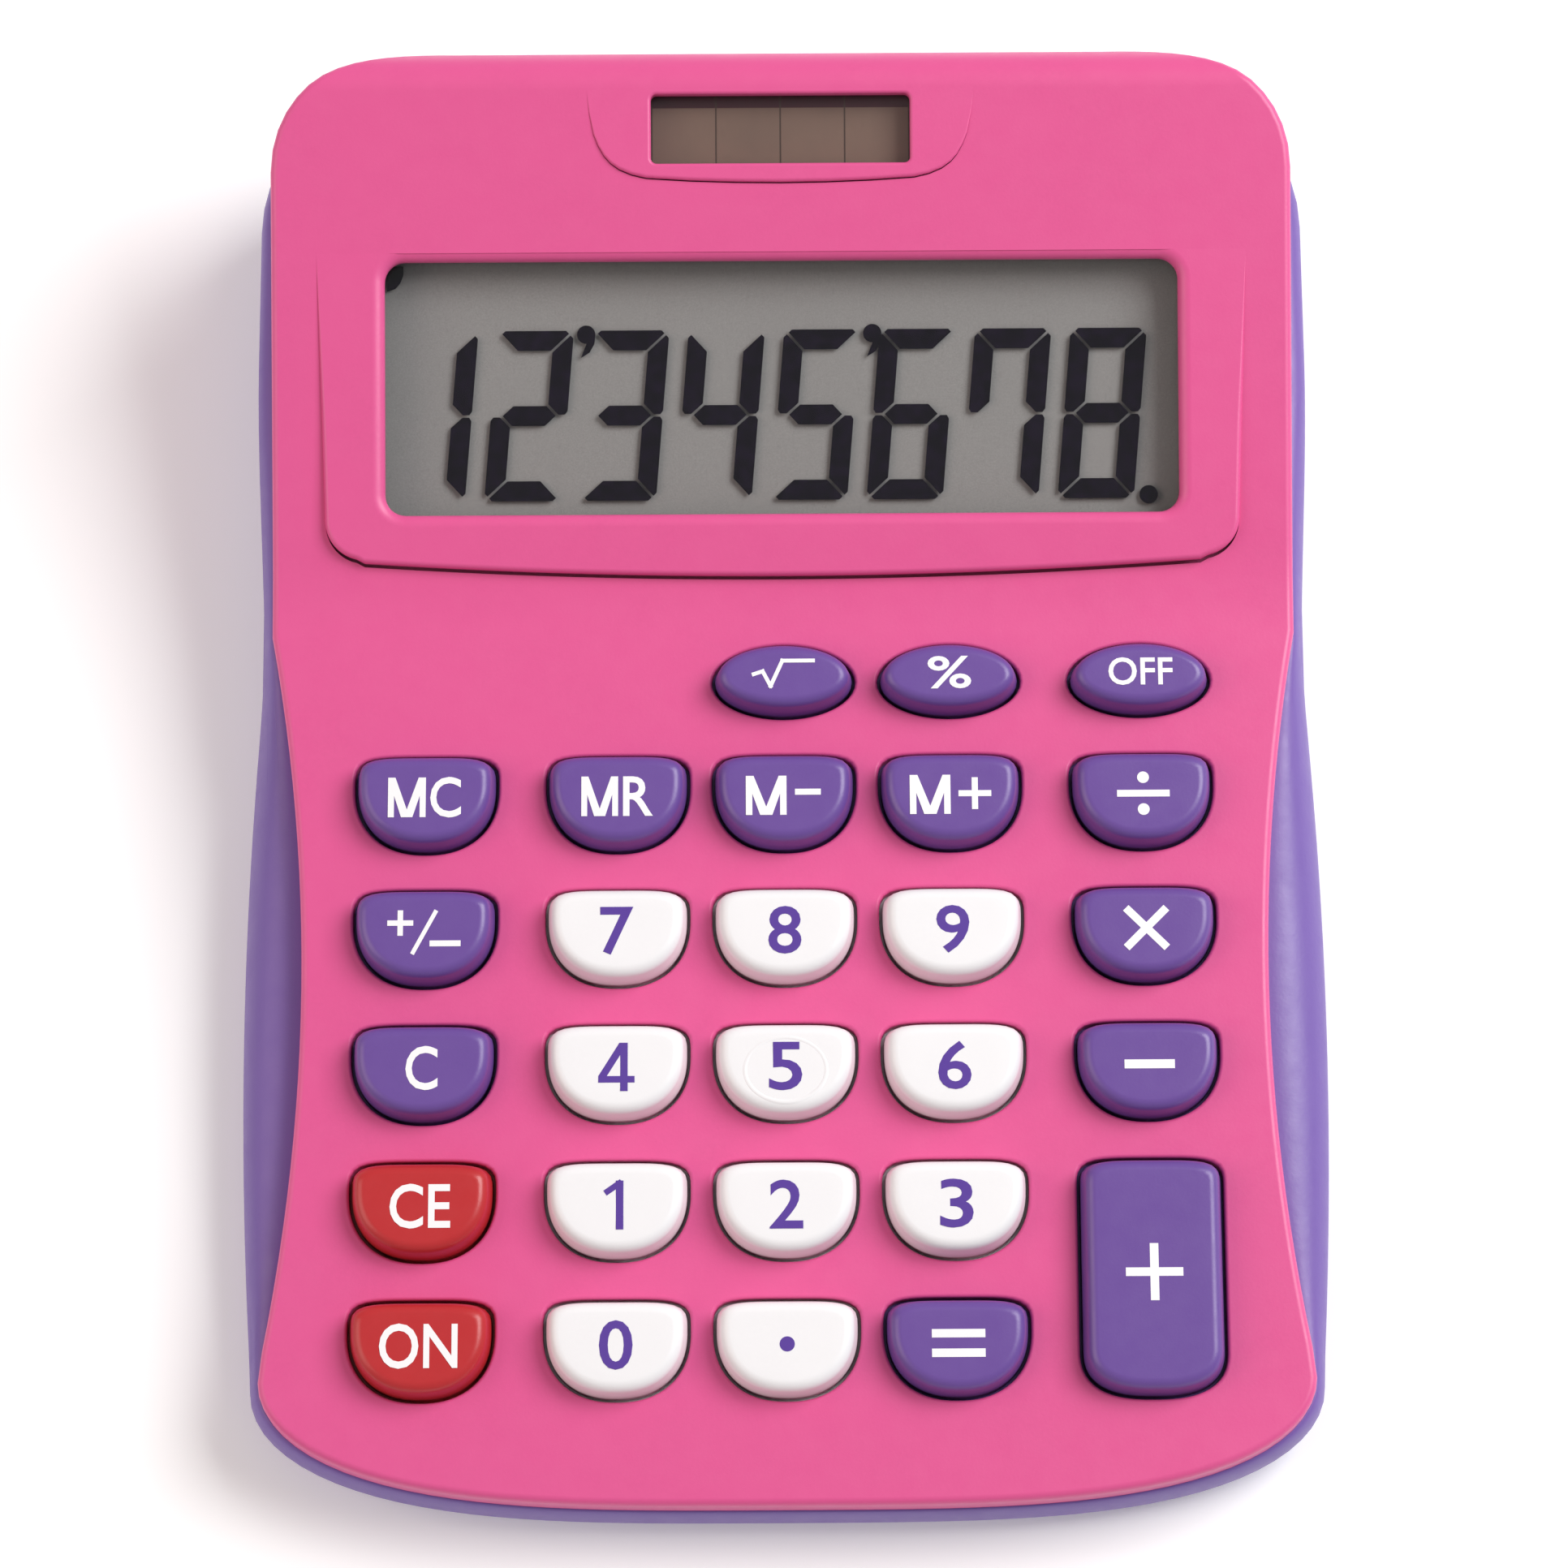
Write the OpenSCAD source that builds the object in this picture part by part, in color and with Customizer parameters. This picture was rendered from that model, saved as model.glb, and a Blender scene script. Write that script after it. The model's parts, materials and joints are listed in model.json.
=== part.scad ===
// Desk calculator: two-shell case with finger grips, sloped display, solar
// cell with a button cell for back-up, and 27 push keys on a rubber keypad.
// Millimetres. +X is right, +Y is the rear (display end), +Z is up.
// The origin is under the middle of the case, on the surface it stands on.

/* [Case] */
// Width of the case across the finger grips
case_w = 110; // [108:1:132]
// Length of the case from front to rear
case_l = 150; // [150:1:180]
// Bulge of each finger grip past the straight sides
grip_bulge = 1.5; // [0.5:0.1:2.5]
// Depth of the waist that is cut into each side of the top shell
waist_cut = 3.6; // [2:0.2:4]
// Length of the waist
waist_l = 75; // [60:1:80]
// Ledge of the bottom shell outside the top shell
ledge_w = 1.3; // [0.8:0.1:1.6]
// Height of the keypad surface at the front edge
nose_h = 9.9; // [9.9:0.1:14]
// Height of the top shell's sides below the keypad surface
rim_h = 3; // [2.6:0.1:3.2]
// Slope of the keypad surface, in degrees
keypad_tilt = 4; // [3:0.5:6]
// Slope of the display surface, in degrees
display_tilt = 18.2; // [16:0.2:22]
// Length of the keypad surface, up to the bend
keypad_l = 93.2; // [92:0.2:96]
// Radius of the hollow bend between keypad and display
bend_r = 32; // [20:1:36]
// Radius of the rear top edge
rear_r = 4.2; // [3:0.5:5.5]
// Wall thickness of both shells
wall = 1.8; // [1.5:0.1:2]
// Thickness of the bottom shell's floor
floor_t = 1.6; // [1.4:0.1:2]
// Overlap of the lip that locates one shell in the other
lip_h = 1.4; // [1:0.1:2]
// Thickness of that lip
lip_t = 0.9; // [0.7:0.1:1.1]

/* [Feet] */
// Height that the rubber feet stand proud of the floor
foot_h = 1.2; // [1:0.1:2]
// Radius of a rubber foot
foot_r = 4.5; // [3.5:0.1:5]
// Depth of the recess that holds a foot
foot_sink = 0.8; // [0.5:0.1:1]

/* [Keys] */
// Width of a key at the panel
key_w = 14; // [12:0.1:14.6]
// Length of a key at the panel
key_l = 9.6; // [8.5:0.1:10.4]
// Length of an oval key
oval_l = 7.2; // [6:0.1:8]
// Height of a key above the panel
key_rise = 3; // [2:0.1:4]
// Travel of a key
key_travel = 1.2; // [0.8:0.1:1.4]
// Gap around a key in its hole
key_gap = 0.3; // [0.2:0.05:0.4]
// Width of the flange that keeps a key in the case
flange_w = 0.75; // [0.5:0.05:0.8]
// Thickness of that flange
flange_t = 0.7; // [0.5:0.1:0.9]
// Wall thickness of a key
key_wall = 1.3; // [1:0.1:1.6]
// Distance between the middle columns
column_pitch = 16.8; // [16.6:0.1:18]
// Distance of the outer columns from the middle
outer_column = 36.15; // [35.8:0.05:37]
// Distance between the rows
row_pitch = 13.84; // [13.2:0.02:13.9]
// Distance of the front row from the front edge
first_row = 15.95; // [15.5:0.05:16.2]
// Distance of the row of oval keys from the row before it
oval_pitch = 12.74; // [12:0.02:12.9]

/* [Display] */
// Width of the display opening
window_w = 81.2; // [70:0.2:82]
// Length of the display opening up the slope
window_l = 26; // [20:0.2:27]
// Distance of the opening's middle from the bend
window_s = 21.2; // [20.8:0.1:23]
// Corner radius of the opening
window_r = 2.1; // [1:0.1:4]
// Width of the raised panel around the display
panel_w = 95; // [94:0.2:96]
// Height of the raised panel at its front edge
panel_rise = 1.2; // [0.6:0.1:1.3]
// Depth of the clear window below the panel
window_sink = 1.4; // [1.2:0.1:1.6]
// Thickness of the clear window
window_t = 1; // [0.8:0.1:1.1]
// Overlap of the clear window behind the opening's edge
window_lap = 2; // [1:0.1:2]
// Thickness of each of the two glass plates of the display
glass_t = 0.9; // [0.5:0.1:0.9]
// Width of the display glass
glass_w = 88; // [86:0.2:88.2]

/* [Solar cell] */
// Width of the solar opening
solar_w = 26.5; // [20:0.5:34]
// Length of the solar opening up the slope
solar_l = 7.1; // [5:0.1:7.4]
// Distance of the solar opening's middle from the rear edge
solar_inset = 9.8; // [9.7:0.1:11]
// Height of the raised pod at its front edge
pod_rise = 0.45; // [0.2:0.05:0.6]
// Thickness of the cell
cell_t = 1.1; // [0.7:0.1:1.2]

/* [Board and keypad] */
// Width of the circuit board
board_w = 87; // [85:0.5:88]
// Thickness of the circuit board
board_t = 1.2; // [0.8:0.1:1.2]
// Thickness of the rubber keypad's sheet
sheet_t = 0.7; // [0.5:0.1:0.8]
// Height of the solid tip on a rubber dome
dome_tip = 0.5; // [0.4:0.1:0.7]
// Radius of a rubber dome at the sheet
dome_r = 4.2; // [3:0.1:4.4]

/* [Battery] */
// Radius of the button cell
battery_r = 5.8; // [4.5:0.1:6]
// Height of the button cell
battery_h = 5.4; // [4:0.1:5.6]
// Width of the battery door
door_w = 26; // [22:0.5:30]
// Length of the battery door
door_l = 24; // [20:0.5:26]
// Thickness of the battery door
door_t = 1.2; // [1:0.1:1.3]
// Distance of the button cell from the middle of the case
battery_y = 46; // [44:0.5:48]

/* [Fasteners] */
// Radius of a case screw's shank
screw_r = 1; // [0.8:0.05:1.1]
// Radius of a case screw's head
head_r = 2.1; // [1.8:0.05:2.3]
// Length of a case screw's shank
screw_l = 5.5; // [5:0.1:5.6]
// Radius of a small screw's shank, for the board and the display frame
small_r = 0.78; // [0.6:0.02:0.8]
// Radius of a small screw's head
small_head_r = 1.7; // [1.4:0.05:1.9]

/* [Hidden] */
front = -case_l / 2;
bend_y = front + keypad_l;
bend_z = nose_h + keypad_l * tan(keypad_tilt);
eps = 0.05;          // overlap that joins two shapes of one piece
slip = 0.15;         // clearance between parts that are laid in place
thread_gap = 0.02;   // clearance of a screw in the hole that it forms

// Plan outlines are [half width, front depth, rear depth, waist cut, rear squareness, rear flare].
front_depth = 13;
rear_depth = 15.3;
front_power = 3.5;   // roundness of the bowed front edge
rear_power = 8;      // squarer rear edge of the bottom shell
seam_power = 7.2;    // rear edge of the top shell
rear_flare = 1.1;    // how much wider the bottom shell is at the rear
flare_start = 5;
flare_l = 40;
front_y = front + front_depth;
rear_y = case_l / 2 - rear_depth;
side_w = case_w / 2 - grip_bulge;
waist_y = -23.3 - (case_l - 150) / 2;
ledge_front = 0.7;
ledge_rear = 2.3;
rim_plan = [side_w, front_depth, rear_depth, -grip_bulge, rear_power, rear_flare];
seam_plan = [side_w - ledge_w, front_depth - ledge_front, rear_depth - ledge_rear, waist_cut,
    seam_power, 0];
base_plan = inset(rim_plan, 4);
rim_share = 0.45;    // height of the widest line, as a share of the bottom shell
rear_share = 0.85;   // the same at the rear, where the widest line rises
case_rear = rear_y + seam_plan[2];

// Levels along the normal of the keypad surface, which is level 0.
flange_top = -wall - 0.25;
key_foot = flange_top - flange_t - 0.45;
dome_top = key_foot - 0.1;
dome_h = key_travel + dome_tip;
sheet_top = dome_top - dome_h;
board_top = sheet_top - sheet_t;
board_under = board_top - board_t;
small_head_t = 1.1;
oval_row = first_row + 4 * row_pitch + oval_pitch;
board_front = 10.4;
board_rear = oval_row + 9.4;
sheet_rear = oval_row + dome_r + 0.4;
sheet_w = board_w - 2.6;

// The raised panel is a little less steep than the slope and runs out into it.
panel_end = 35;
panel_start = 1.8;
panel_relief = atan(panel_rise / (panel_end - panel_start));
panel_lift = (panel_end - window_s) * tan(panel_relief);
window_top = -window_sink;
glass_top = window_top - window_t - 0.2;
glass_under = glass_top - 2 * glass_t;
reflector_t = 0.15;
frame_top = glass_under - reflector_t - eps;
frame_t = 1.2;
glass_l = window_l + 2 * window_lap + 0.6;
terminal_l = 2.4;    // ledge of the rear glass that carries the contacts
frame_ear_x = glass_w / 2 + 3.4;
frame_ear_t = 10;
ear_in = 4;          // reach of an ear from its screw to the frame
ear_out = 1.8;       // reach of an ear from its screw outwards
ear_l = 6;

// The pod around the solar cell, on the slope near the rear edge.
slope_l = (case_rear - bend_y) / cos(display_tilt);
solar_s = slope_l - solar_inset;
pod_l = 9.6;
pod_end = solar_s + 4.1;
pod_relief = atan(pod_rise / pod_l);
pod_lift = (pod_end - solar_s) * tan(pod_relief);
solar_sink = 1.3;
solar_window_t = 0.9;
solar_lap = 1.3;
cell_top = -solar_sink - solar_window_t - 0.1;
cell_w = solar_w + 5.6;
cell_l = solar_l + 3.6;

// Case screws: [x, y, height of the head's seat]
screw_seat = 2.7;
deep_seat = 6.7;
CASE_SCREWS = [for (side = [-1, 1]) each [
    [side * 38.5, front + 6.6, screw_seat],
    [side * (side_w - 7), bend_y - 0.2, deep_seat],
    [side * (side_w - 13), rear_y + 3.3, deep_seat]]];
seat_t = 2;          // floor under a screw head
post_r = head_r + 1.3;
BOARD_SCREWS = [for (side = [-1, 1], gap = [0.5, 2.5, 4.5])
    [side * 26.3, first_row + gap * row_pitch]];
FRAME_SCREWS = [for (side = [-1, 1], end = [-1, 1]) [side * frame_ear_x, end * frame_ear_t]];
FEET = [
    ["foot_front_left", -40, front + 18], ["foot_front_right", 40, front + 18],
    ["foot_rear_left", -40, rear_y - 5.7], ["foot_rear_right", 40, rear_y - 5.7]];

// Button cell, its tower and the door below it
cell_z = foot_h + 2.2;
tower_r = battery_r + 1.7;
well_r = battery_r + 0.3;
ceiling_z = cell_z + battery_h + 0.6;
tower_top = ceiling_z + 1.2;
door_gap = 0.2;
rebate_top = foot_h + 1.5;
hinge_r = 0.7;
hinge_y = battery_y + door_l / 2 - 0.9;
hinge_z = foot_h + hinge_r;
pin_r = 0.5;
pin_l = 1.3;
strip_t = 0.25;
strip_w = 4;

// Keys: [name, column, distance from the front edge, shape, colour]
purple = "#6a4aa5";
white = "#f0f0f2";
red = "#c4292c";
pink = "#ea4c89";
column = [-outer_column, -column_pitch, 0, column_pitch, outer_column];
row = [for (i = [0:4]) first_row + i * row_pitch];
KEYS = [
    ["key_sqrt", 2, oval_row, "oval", purple],
    ["key_percent", 3, oval_row, "oval", purple],
    ["key_off", 4, oval_row, "oval", purple],
    ["key_mc", 0, row[4], "round", purple],
    ["key_mr", 1, row[4], "round", purple],
    ["key_m_minus", 2, row[4], "round", purple],
    ["key_m_plus", 3, row[4], "round", purple],
    ["key_divide", 4, row[4], "round", purple],
    ["key_sign", 0, row[3], "round", purple],
    ["key_7", 1, row[3], "round", white],
    ["key_8", 2, row[3], "round", white],
    ["key_9", 3, row[3], "round", white],
    ["key_multiply", 4, row[3], "round", purple],
    ["key_c", 0, row[2], "round", purple],
    ["key_4", 1, row[2], "round", white],
    ["key_5", 2, row[2], "round", white],
    ["key_6", 3, row[2], "round", white],
    ["key_minus", 4, row[2], "round", purple],
    ["key_ce", 0, row[1], "round", red],
    ["key_1", 1, row[1], "round", white],
    ["key_2", 2, row[1], "round", white],
    ["key_3", 3, row[1], "round", white],
    ["key_plus", 4, (row[0] + row[1]) / 2, "tall", purple],
    ["key_on", 0, row[0], "round", red],
    ["key_0", 1, row[0], "round", white],
    ["key_point", 2, row[0], "round", white],
    ["key_equals", 3, row[0], "round", purple]];

// Leads: routes chosen by hand, from the part that is fed to the board. The first points
// are offsets from the place that is fed, the last ones from the lead's place on the board.
lead_r = 0.5;
solar_feed = pod_pt(-0.27, cell_top - cell_t - 0.11);
board_end = keypad_pt(oval_row + 1.1, board_under);
SOLAR_LEFT = concat(
    [for (p = [[0, 0, 0], [0, -0.5, -2], [-0.5, -3, -6], [-3, -10, -11], [-8, -22, -14.5]])
        [-10, solar_feed[0], solar_feed[1]] + p],
    [for (p = [[2, 17.6, 0.05], [0, 8.6, -2.75], [0, 3.1, -2.95], [0, 0.4, -1.55], [0, 0, 0]])
        [-26, board_end[0], board_end[1]] + p]);
SOLAR_RIGHT = [for (p = SOLAR_LEFT) [-p[0], p[1], p[2]]];
BATTERY_LEFT = concat(
    [for (p = [[0, 0, 0], [-1, -0.5, 1.5], [-3, -4, 1.9], [-5, -12, -0.1]])
        [-battery_r - 3.2, battery_y, tower_top + 0.5] + p],
    [for (p = [[1, 13.6, -1.45], [0, 5.6, -3.15], [0, 1.6, -2.65], [0, 0, 0]])
        [-18, board_end[0], board_end[1]] + p]);
BATTERY_RIGHT = concat(
    [for (p = [[0, 0, 0], [1, -0.2, 1.4], [5, -1.9, 2], [10, -8.4, 1.8], [13, -18.4, 0.1]])
        [0, battery_y + tower_r + 0.9, tower_top + 0.8] + p],
    [for (p = [[-1.5, 13.6, -1.45], [0, 5.6, -3.15], [0, 1.6, -2.65], [0, 0, 0]])
        [18, board_end[0], board_end[1]] + p]);

// ---------- Heights and places ----------

function keypad_z(y) = nose_h + (y - front) * tan(keypad_tilt);
function seam_z(y) = keypad_z(y) - rim_h;
function keypad_pt(s, w) = [
    front + s * cos(keypad_tilt) - w * sin(keypad_tilt),
    nose_h + s * sin(keypad_tilt) + w * cos(keypad_tilt)];
function slope_pt(s, w) = [
    bend_y + s * cos(display_tilt) - w * sin(display_tilt),
    bend_z + s * sin(display_tilt) + w * cos(display_tilt)];
function panel_pt(t, w) =
    let (tilt = display_tilt - panel_relief)
    slope_pt(window_s, panel_lift)
        + [t * cos(tilt) - w * sin(tilt), t * sin(tilt) + w * cos(tilt)];
function pod_pt(t, w) =
    let (tilt = display_tilt - pod_relief)
    slope_pt(solar_s, pod_lift)
        + [t * cos(tilt) - w * sin(tilt), t * sin(tilt) + w * cos(tilt)];

module on_keypad(x = 0, s = 0, w = 0) {
    translate([0, front, nose_h]) rotate([keypad_tilt, 0, 0]) translate([x, s, w]) children();
}

module on_slope(s = 0, w = 0) {
    translate([0, bend_y, bend_z]) rotate([display_tilt, 0, 0]) translate([0, s, w]) children();
}

module on_panel(x = 0, t = 0, w = 0) {
    on_slope(window_s, panel_lift) rotate([-panel_relief, 0, 0]) translate([x, t, w]) children();
}

module on_pod(x = 0, t = 0, w = 0) {
    on_slope(solar_s, pod_lift) rotate([-pod_relief, 0, 0]) translate([x, t, w]) children();
}

// ---------- Outlines ----------

function inset(plan, e) = [plan[0] - e, plan[1] - e, plan[2] - e, plan[3], plan[4], plan[5]];
function mix(a, b, share) = a + (b - a) * share;

// How far the waist reaches at y: 0 at its ends, 1 in its middle
function waist(y) =
    let (u = (y - waist_y) / (waist_l / 2))
    abs(u) < 1 ? 1 - u * u : 0;

// How far the rear's flare has grown at y: 0 before it starts, 1 at its full width
function flare(y) =
    let (u = max(0, min(1, (y - flare_start) / flare_l)))
    u * u * (3 - 2 * u);

// Right-hand half of a plan outline, from the front to the rear
function half_outline(plan) = concat(
    [for (a = [0, 12, 25, 40, 55, 70, 90])
        [plan[0] * pow(sin(a), 2 / front_power), front_y - plan[1] * cos(a)]],
    [for (i = [1:11]) let (y = mix(front_y, rear_y, i / 12))
        [plan[0] - plan[3] * waist(y) + plan[5] * flare(y), y]],
    [for (a = [90, 60, 35, 18, 8, 0])
        [(plan[0] + plan[5]) * pow(sin(a), 2 / plan[4]), rear_y + plan[2] * cos(a)]]);

// Whole plan outline, anticlockwise from the middle of the front edge
function outline(plan) =
    let (half = half_outline(plan), n = len(half))
    concat(half, [for (i = [n - 2:-1:1]) [-half[i][0], half[i][1]]]);

// Outline of a key about its middle, grown by e on every side
function key_outline(shape, e) =
    let (
        oval = shape == "oval",
        a = key_w / 2 + e,
        l = oval ? oval_l : key_l,
        up = oval ? l / 2 + e : 3 + e,
        down = oval ? l / 2 + e : shape == "tall" ? 4.6 + e : l - 3 + e,
        mid_up = oval ? 0 : shape == "tall" ? (l + row_pitch) / 2 - 3 : l / 2 - 3,
        mid_down = shape == "tall" ? 4.6 - (l + row_pitch) / 2 : mid_up,
        n_up = oval ? 2 : 4.5,
        n_down = oval ? 2 : shape == "tall" ? 2.6 : 2.25)
    concat(
        [for (i = [0:14]) let (c = i * 180 / 14)
            [sign(cos(c)) * a * pow(abs(cos(c)), 2 / n_up), mid_up + up * pow(sin(c), 2 / n_up)]],
        [for (i = [shape == "tall" ? 0 : 1:shape == "tall" ? 14 : 13]) let (c = 180 + i * 180 / 14)
            [sign(cos(c)) * a * pow(abs(cos(c)), 2 / n_down),
             mid_down - down * pow(abs(sin(c)), 2 / n_down)]]);

function rounded_rect(w, l, r) = [
    for (q = [[1, 1, 0], [-1, 1, 90], [-1, -1, 180], [1, -1, 270]], i = [0:4])
        [q[0] * (w / 2 - r) + r * cos(q[2] + i * 22.5), q[1] * (l / 2 - r) + r * sin(q[2] + i * 22.5)]];

// Side view of the top shell's outer surface, moved inwards by e
function top_profile(e) =
    let (
        ck = cos(keypad_tilt), sk = sin(keypad_tilt),
        cd = cos(display_tilt), sd = sin(display_tilt),
        shift = e * (1 / cd - 1 / ck) / (sd / cd - sk / ck),
        bend = [bend_y + shift, bend_z + shift * sk / ck - e / ck],
        r = bend_r + e,
        reach = r * tan((display_tilt - keypad_tilt) / 2),
        pivot = bend + [-reach * ck - r * sk, -reach * sk + r * ck],
        edge_r = rear_r - e,
        edge_y = case_rear - rear_r,
        edge_z = bend[1] + (edge_y - bend[0]) * sd / cd - edge_r / cd)
    concat(
        [[front - 1, bend[1] - (bend[0] - front + 1) * sk / ck]],
        [for (i = [0:8]) let (c = mix(keypad_tilt, display_tilt, i / 8))
            pivot + r * [sin(c), -cos(c)]],
        [for (i = [0:8]) let (c = mix(-display_tilt, 90, i / 8))
            [edge_y, edge_z] + edge_r * [sin(c), cos(c)]]);

// ---------- Helpers ----------

// Solid between rings of equal length, from the lowest ring to the highest
module loft(rings) {
    n = len(rings[0]);
    m = len(rings);
    polyhedron(
        points = [for (ring = rings, p = ring) p],
        faces = concat(
            [[for (i = [0:n - 1]) i], [for (i = [n - 1:-1:0]) (m - 1) * n + i]],
            [for (k = [0:m - 2], i = [0:n - 1])
                let (a = k * n + i, b = k * n + (i + 1) % n) each [[a, a + n, b + n], [a, b + n, b]]]));
}

// One level of the bottom shell: 0 is the floor, 1 the widest line and 2 the seam
function level(plan, step, drop = 0) = [
    for (p = outline(plan))
        let (
            rim = mix(rim_share, rear_share, flare(p[1])),
            share = step < 1 ? rim * step : mix(rim, 1, step - 1))
        [p[0], p[1], mix(foot_h, seam_z(p[1]), share) - drop]];

// Flat layer of an outline at one height
function layer(points, z) = [for (p = points) [p[0], p[1], z]];

// Extrusion of a [y, z] outline along X
module across(w, points) {
    rotate([90, 0, 90]) linear_extrude(w, center = true) polygon(points);
}

// Bent strip of even thickness along a [y, z] path
module strip(w, path, t) {
    n = len(path);
    side = [for (i = [0:n - 1])
        let (d = path[min(i + 1, n - 1)] - path[max(i - 1, 0)])
        [-d[1], d[0]] / norm(d) * t / 2];
    across(w, concat(
        [for (i = [0:n - 1]) path[i] + side[i]],
        [for (i = [n - 1:-1:0]) path[i] - side[i]]));
}

module plate(w, l, t, r = 1) {
    linear_extrude(t) polygon(rounded_rect(w, l, r));
}

module screw(shank_r, shank_l, cap_r, cap_t) {
    difference() {
        union() {
            cylinder(r = shank_r, h = shank_l, $fn = 32);
            translate([0, 0, -cap_t]) cylinder(r = cap_r, h = cap_t, $fn = 48);
        }
        for (turn = [0, 90])
            rotate([0, 0, turn])
                translate([-cap_r * 0.6, -0.2, -cap_t - eps]) cube([cap_r * 1.2, 0.4, cap_t * 0.6]);
    }
}

function unit(v) = v / norm(v);

// Points of a smooth curve through the route's own points
function smooth(route) = [
    for (i = [0:len(route) - 2], u = [0, 0.5])
        let (
            a = route[max(i - 1, 0)], b = route[i],
            c = route[i + 1], d = route[min(i + 2, len(route) - 1)])
        (2 * b + (c - a) * u + (2 * a - 5 * b + 4 * c - d) * u * u
            + (3 * b - a - 3 * c + d) * u * u * u) / 2];

module lead(route) {
    path = concat(smooth(route), [route[len(route) - 1]]);
    n = len(path);
    loft([for (i = [0:n - 1])
        let (
            along = unit(path[min(i + 1, n - 1)] - path[max(i - 1, 0)]),
            u = unit(cross([1, 0, 0], along)),
            v = cross(along, u))
        [for (c = [0:45:315]) path[i] + lead_r * (u * cos(c) + v * sin(c))]]);
}

// ---------- Case ----------

module top_solid(e) {
    depth = 40;
    intersection() {
        translate([0, 0, -depth]) linear_extrude(3 * depth) polygon(outline(inset(seam_plan, e)));
        across(2 * case_w, concat(
            top_profile(e),
            [[case_rear - e, -depth], [front - 1, -depth]]));
    }
}

// Slab above a plane that is rim_h plus drop below the keypad surface
module above_seam(drop) {
    on_keypad(0, -50, -(rim_h + drop) * cos(keypad_tilt))
        translate([-case_w, 0, 0]) cube([2 * case_w, 2 * case_l, case_l]);
}

module panel_slab() {
    half = panel_w / 2;
    bow = 1.85;
    low = panel_start - window_s;
    high = panel_end - window_s;
    corner = 4;
    taper = 0.8;
    edge = [for (i = [0:6]) let (x = (half - corner - taper) * i / 6)
        [x, low + bow * pow(x / half, 2)]];
    turn = [for (c = [-60, -35, -10])
        [half - corner - taper + corner * cos(c), low + bow + corner + corner * sin(c)]];
    right = concat(edge, turn, [[half, high]]);
    linear_extrude(panel_rise + 0.3)
        polygon(concat(right, [for (i = [len(right) - 1:-1:1]) [-right[i][0], right[i][1]]]));
}

module pod_slab() {
    low = pod_end - pod_l - solar_s;
    high = pod_end - solar_s - 0.5;
    right = [[0, low], [13.7, low + 0.5], [16.5, low + 1.4], [18.05, low + 2.8],
        [19.1, low + 5], [19.8, high]];
    linear_extrude(pod_rise + 0.4)
        polygon(concat(right, [for (i = [len(right) - 1:-1:1]) [-right[i][0], right[i][1]]]));
}

module lip() {
    intersection() {
        difference() {
            above_seam(lip_h);
            above_seam(-1.5);
        }
        linear_extrude(case_l) difference() {
            polygon(outline(inset(seam_plan, wall + slip)));
            polygon(outline(inset(seam_plan, wall + slip + lip_t)));
        }
    }
    // the lip's root, where it joins the shell's wall
    intersection() {
        difference() {
            above_seam(-0.2);
            above_seam(-1.5);
        }
        linear_extrude(case_l) difference() {
            polygon(outline(inset(seam_plan, wall / 2)));
            polygon(outline(inset(seam_plan, wall + slip + lip_t)));
        }
    }
}

// Space of the display frame's ears and the screw heads below them
module ear_space() {
    low = frame_top - frame_t - small_head_t - slip;
    for (p = FRAME_SCREWS)
        on_panel(p[0], p[1], low)
            translate([-(p[0] > 0 ? ear_in : ear_out) - slip, -ear_l / 2 - slip, 0])
                cube([ear_in + ear_out + 2 * slip, ear_l + 2 * slip, frame_top - low]);
}

module top_bosses() {
    intersection() {
        union() {
            for (p = CASE_SCREWS)
                translate([p[0], p[1], p[2] + seat_t + eps])
                    cylinder(r = head_r + 0.5, h = case_l, $fn = 48);
            for (p = BOARD_SCREWS)
                on_keypad(p[0], p[1], board_top + eps) cylinder(r = 1.8, h = 10, $fn = 48);
        }
        top_solid(wall / 2);
        // below the seam the bosses stay inside the bottom shell's wall
        union() {
            above_seam(0);
            linear_extrude(case_l) polygon(outline(inset(seam_plan, wall + slip)));
        }
    }
    for (p = FRAME_SCREWS)
        on_panel(p[0], p[1], frame_top) cylinder(r = 2.1, h = -frame_top - 1.2, $fn = 48);
    // ribs that locate the solar cell
    for (side = [-1, 1])
        on_pod(side * (solar_w / 2 + 3.8), 0, cell_top - cell_t)
            translate([-0.5, -3, 0]) cube([1, 6, cell_t + 1.6]);
}

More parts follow.
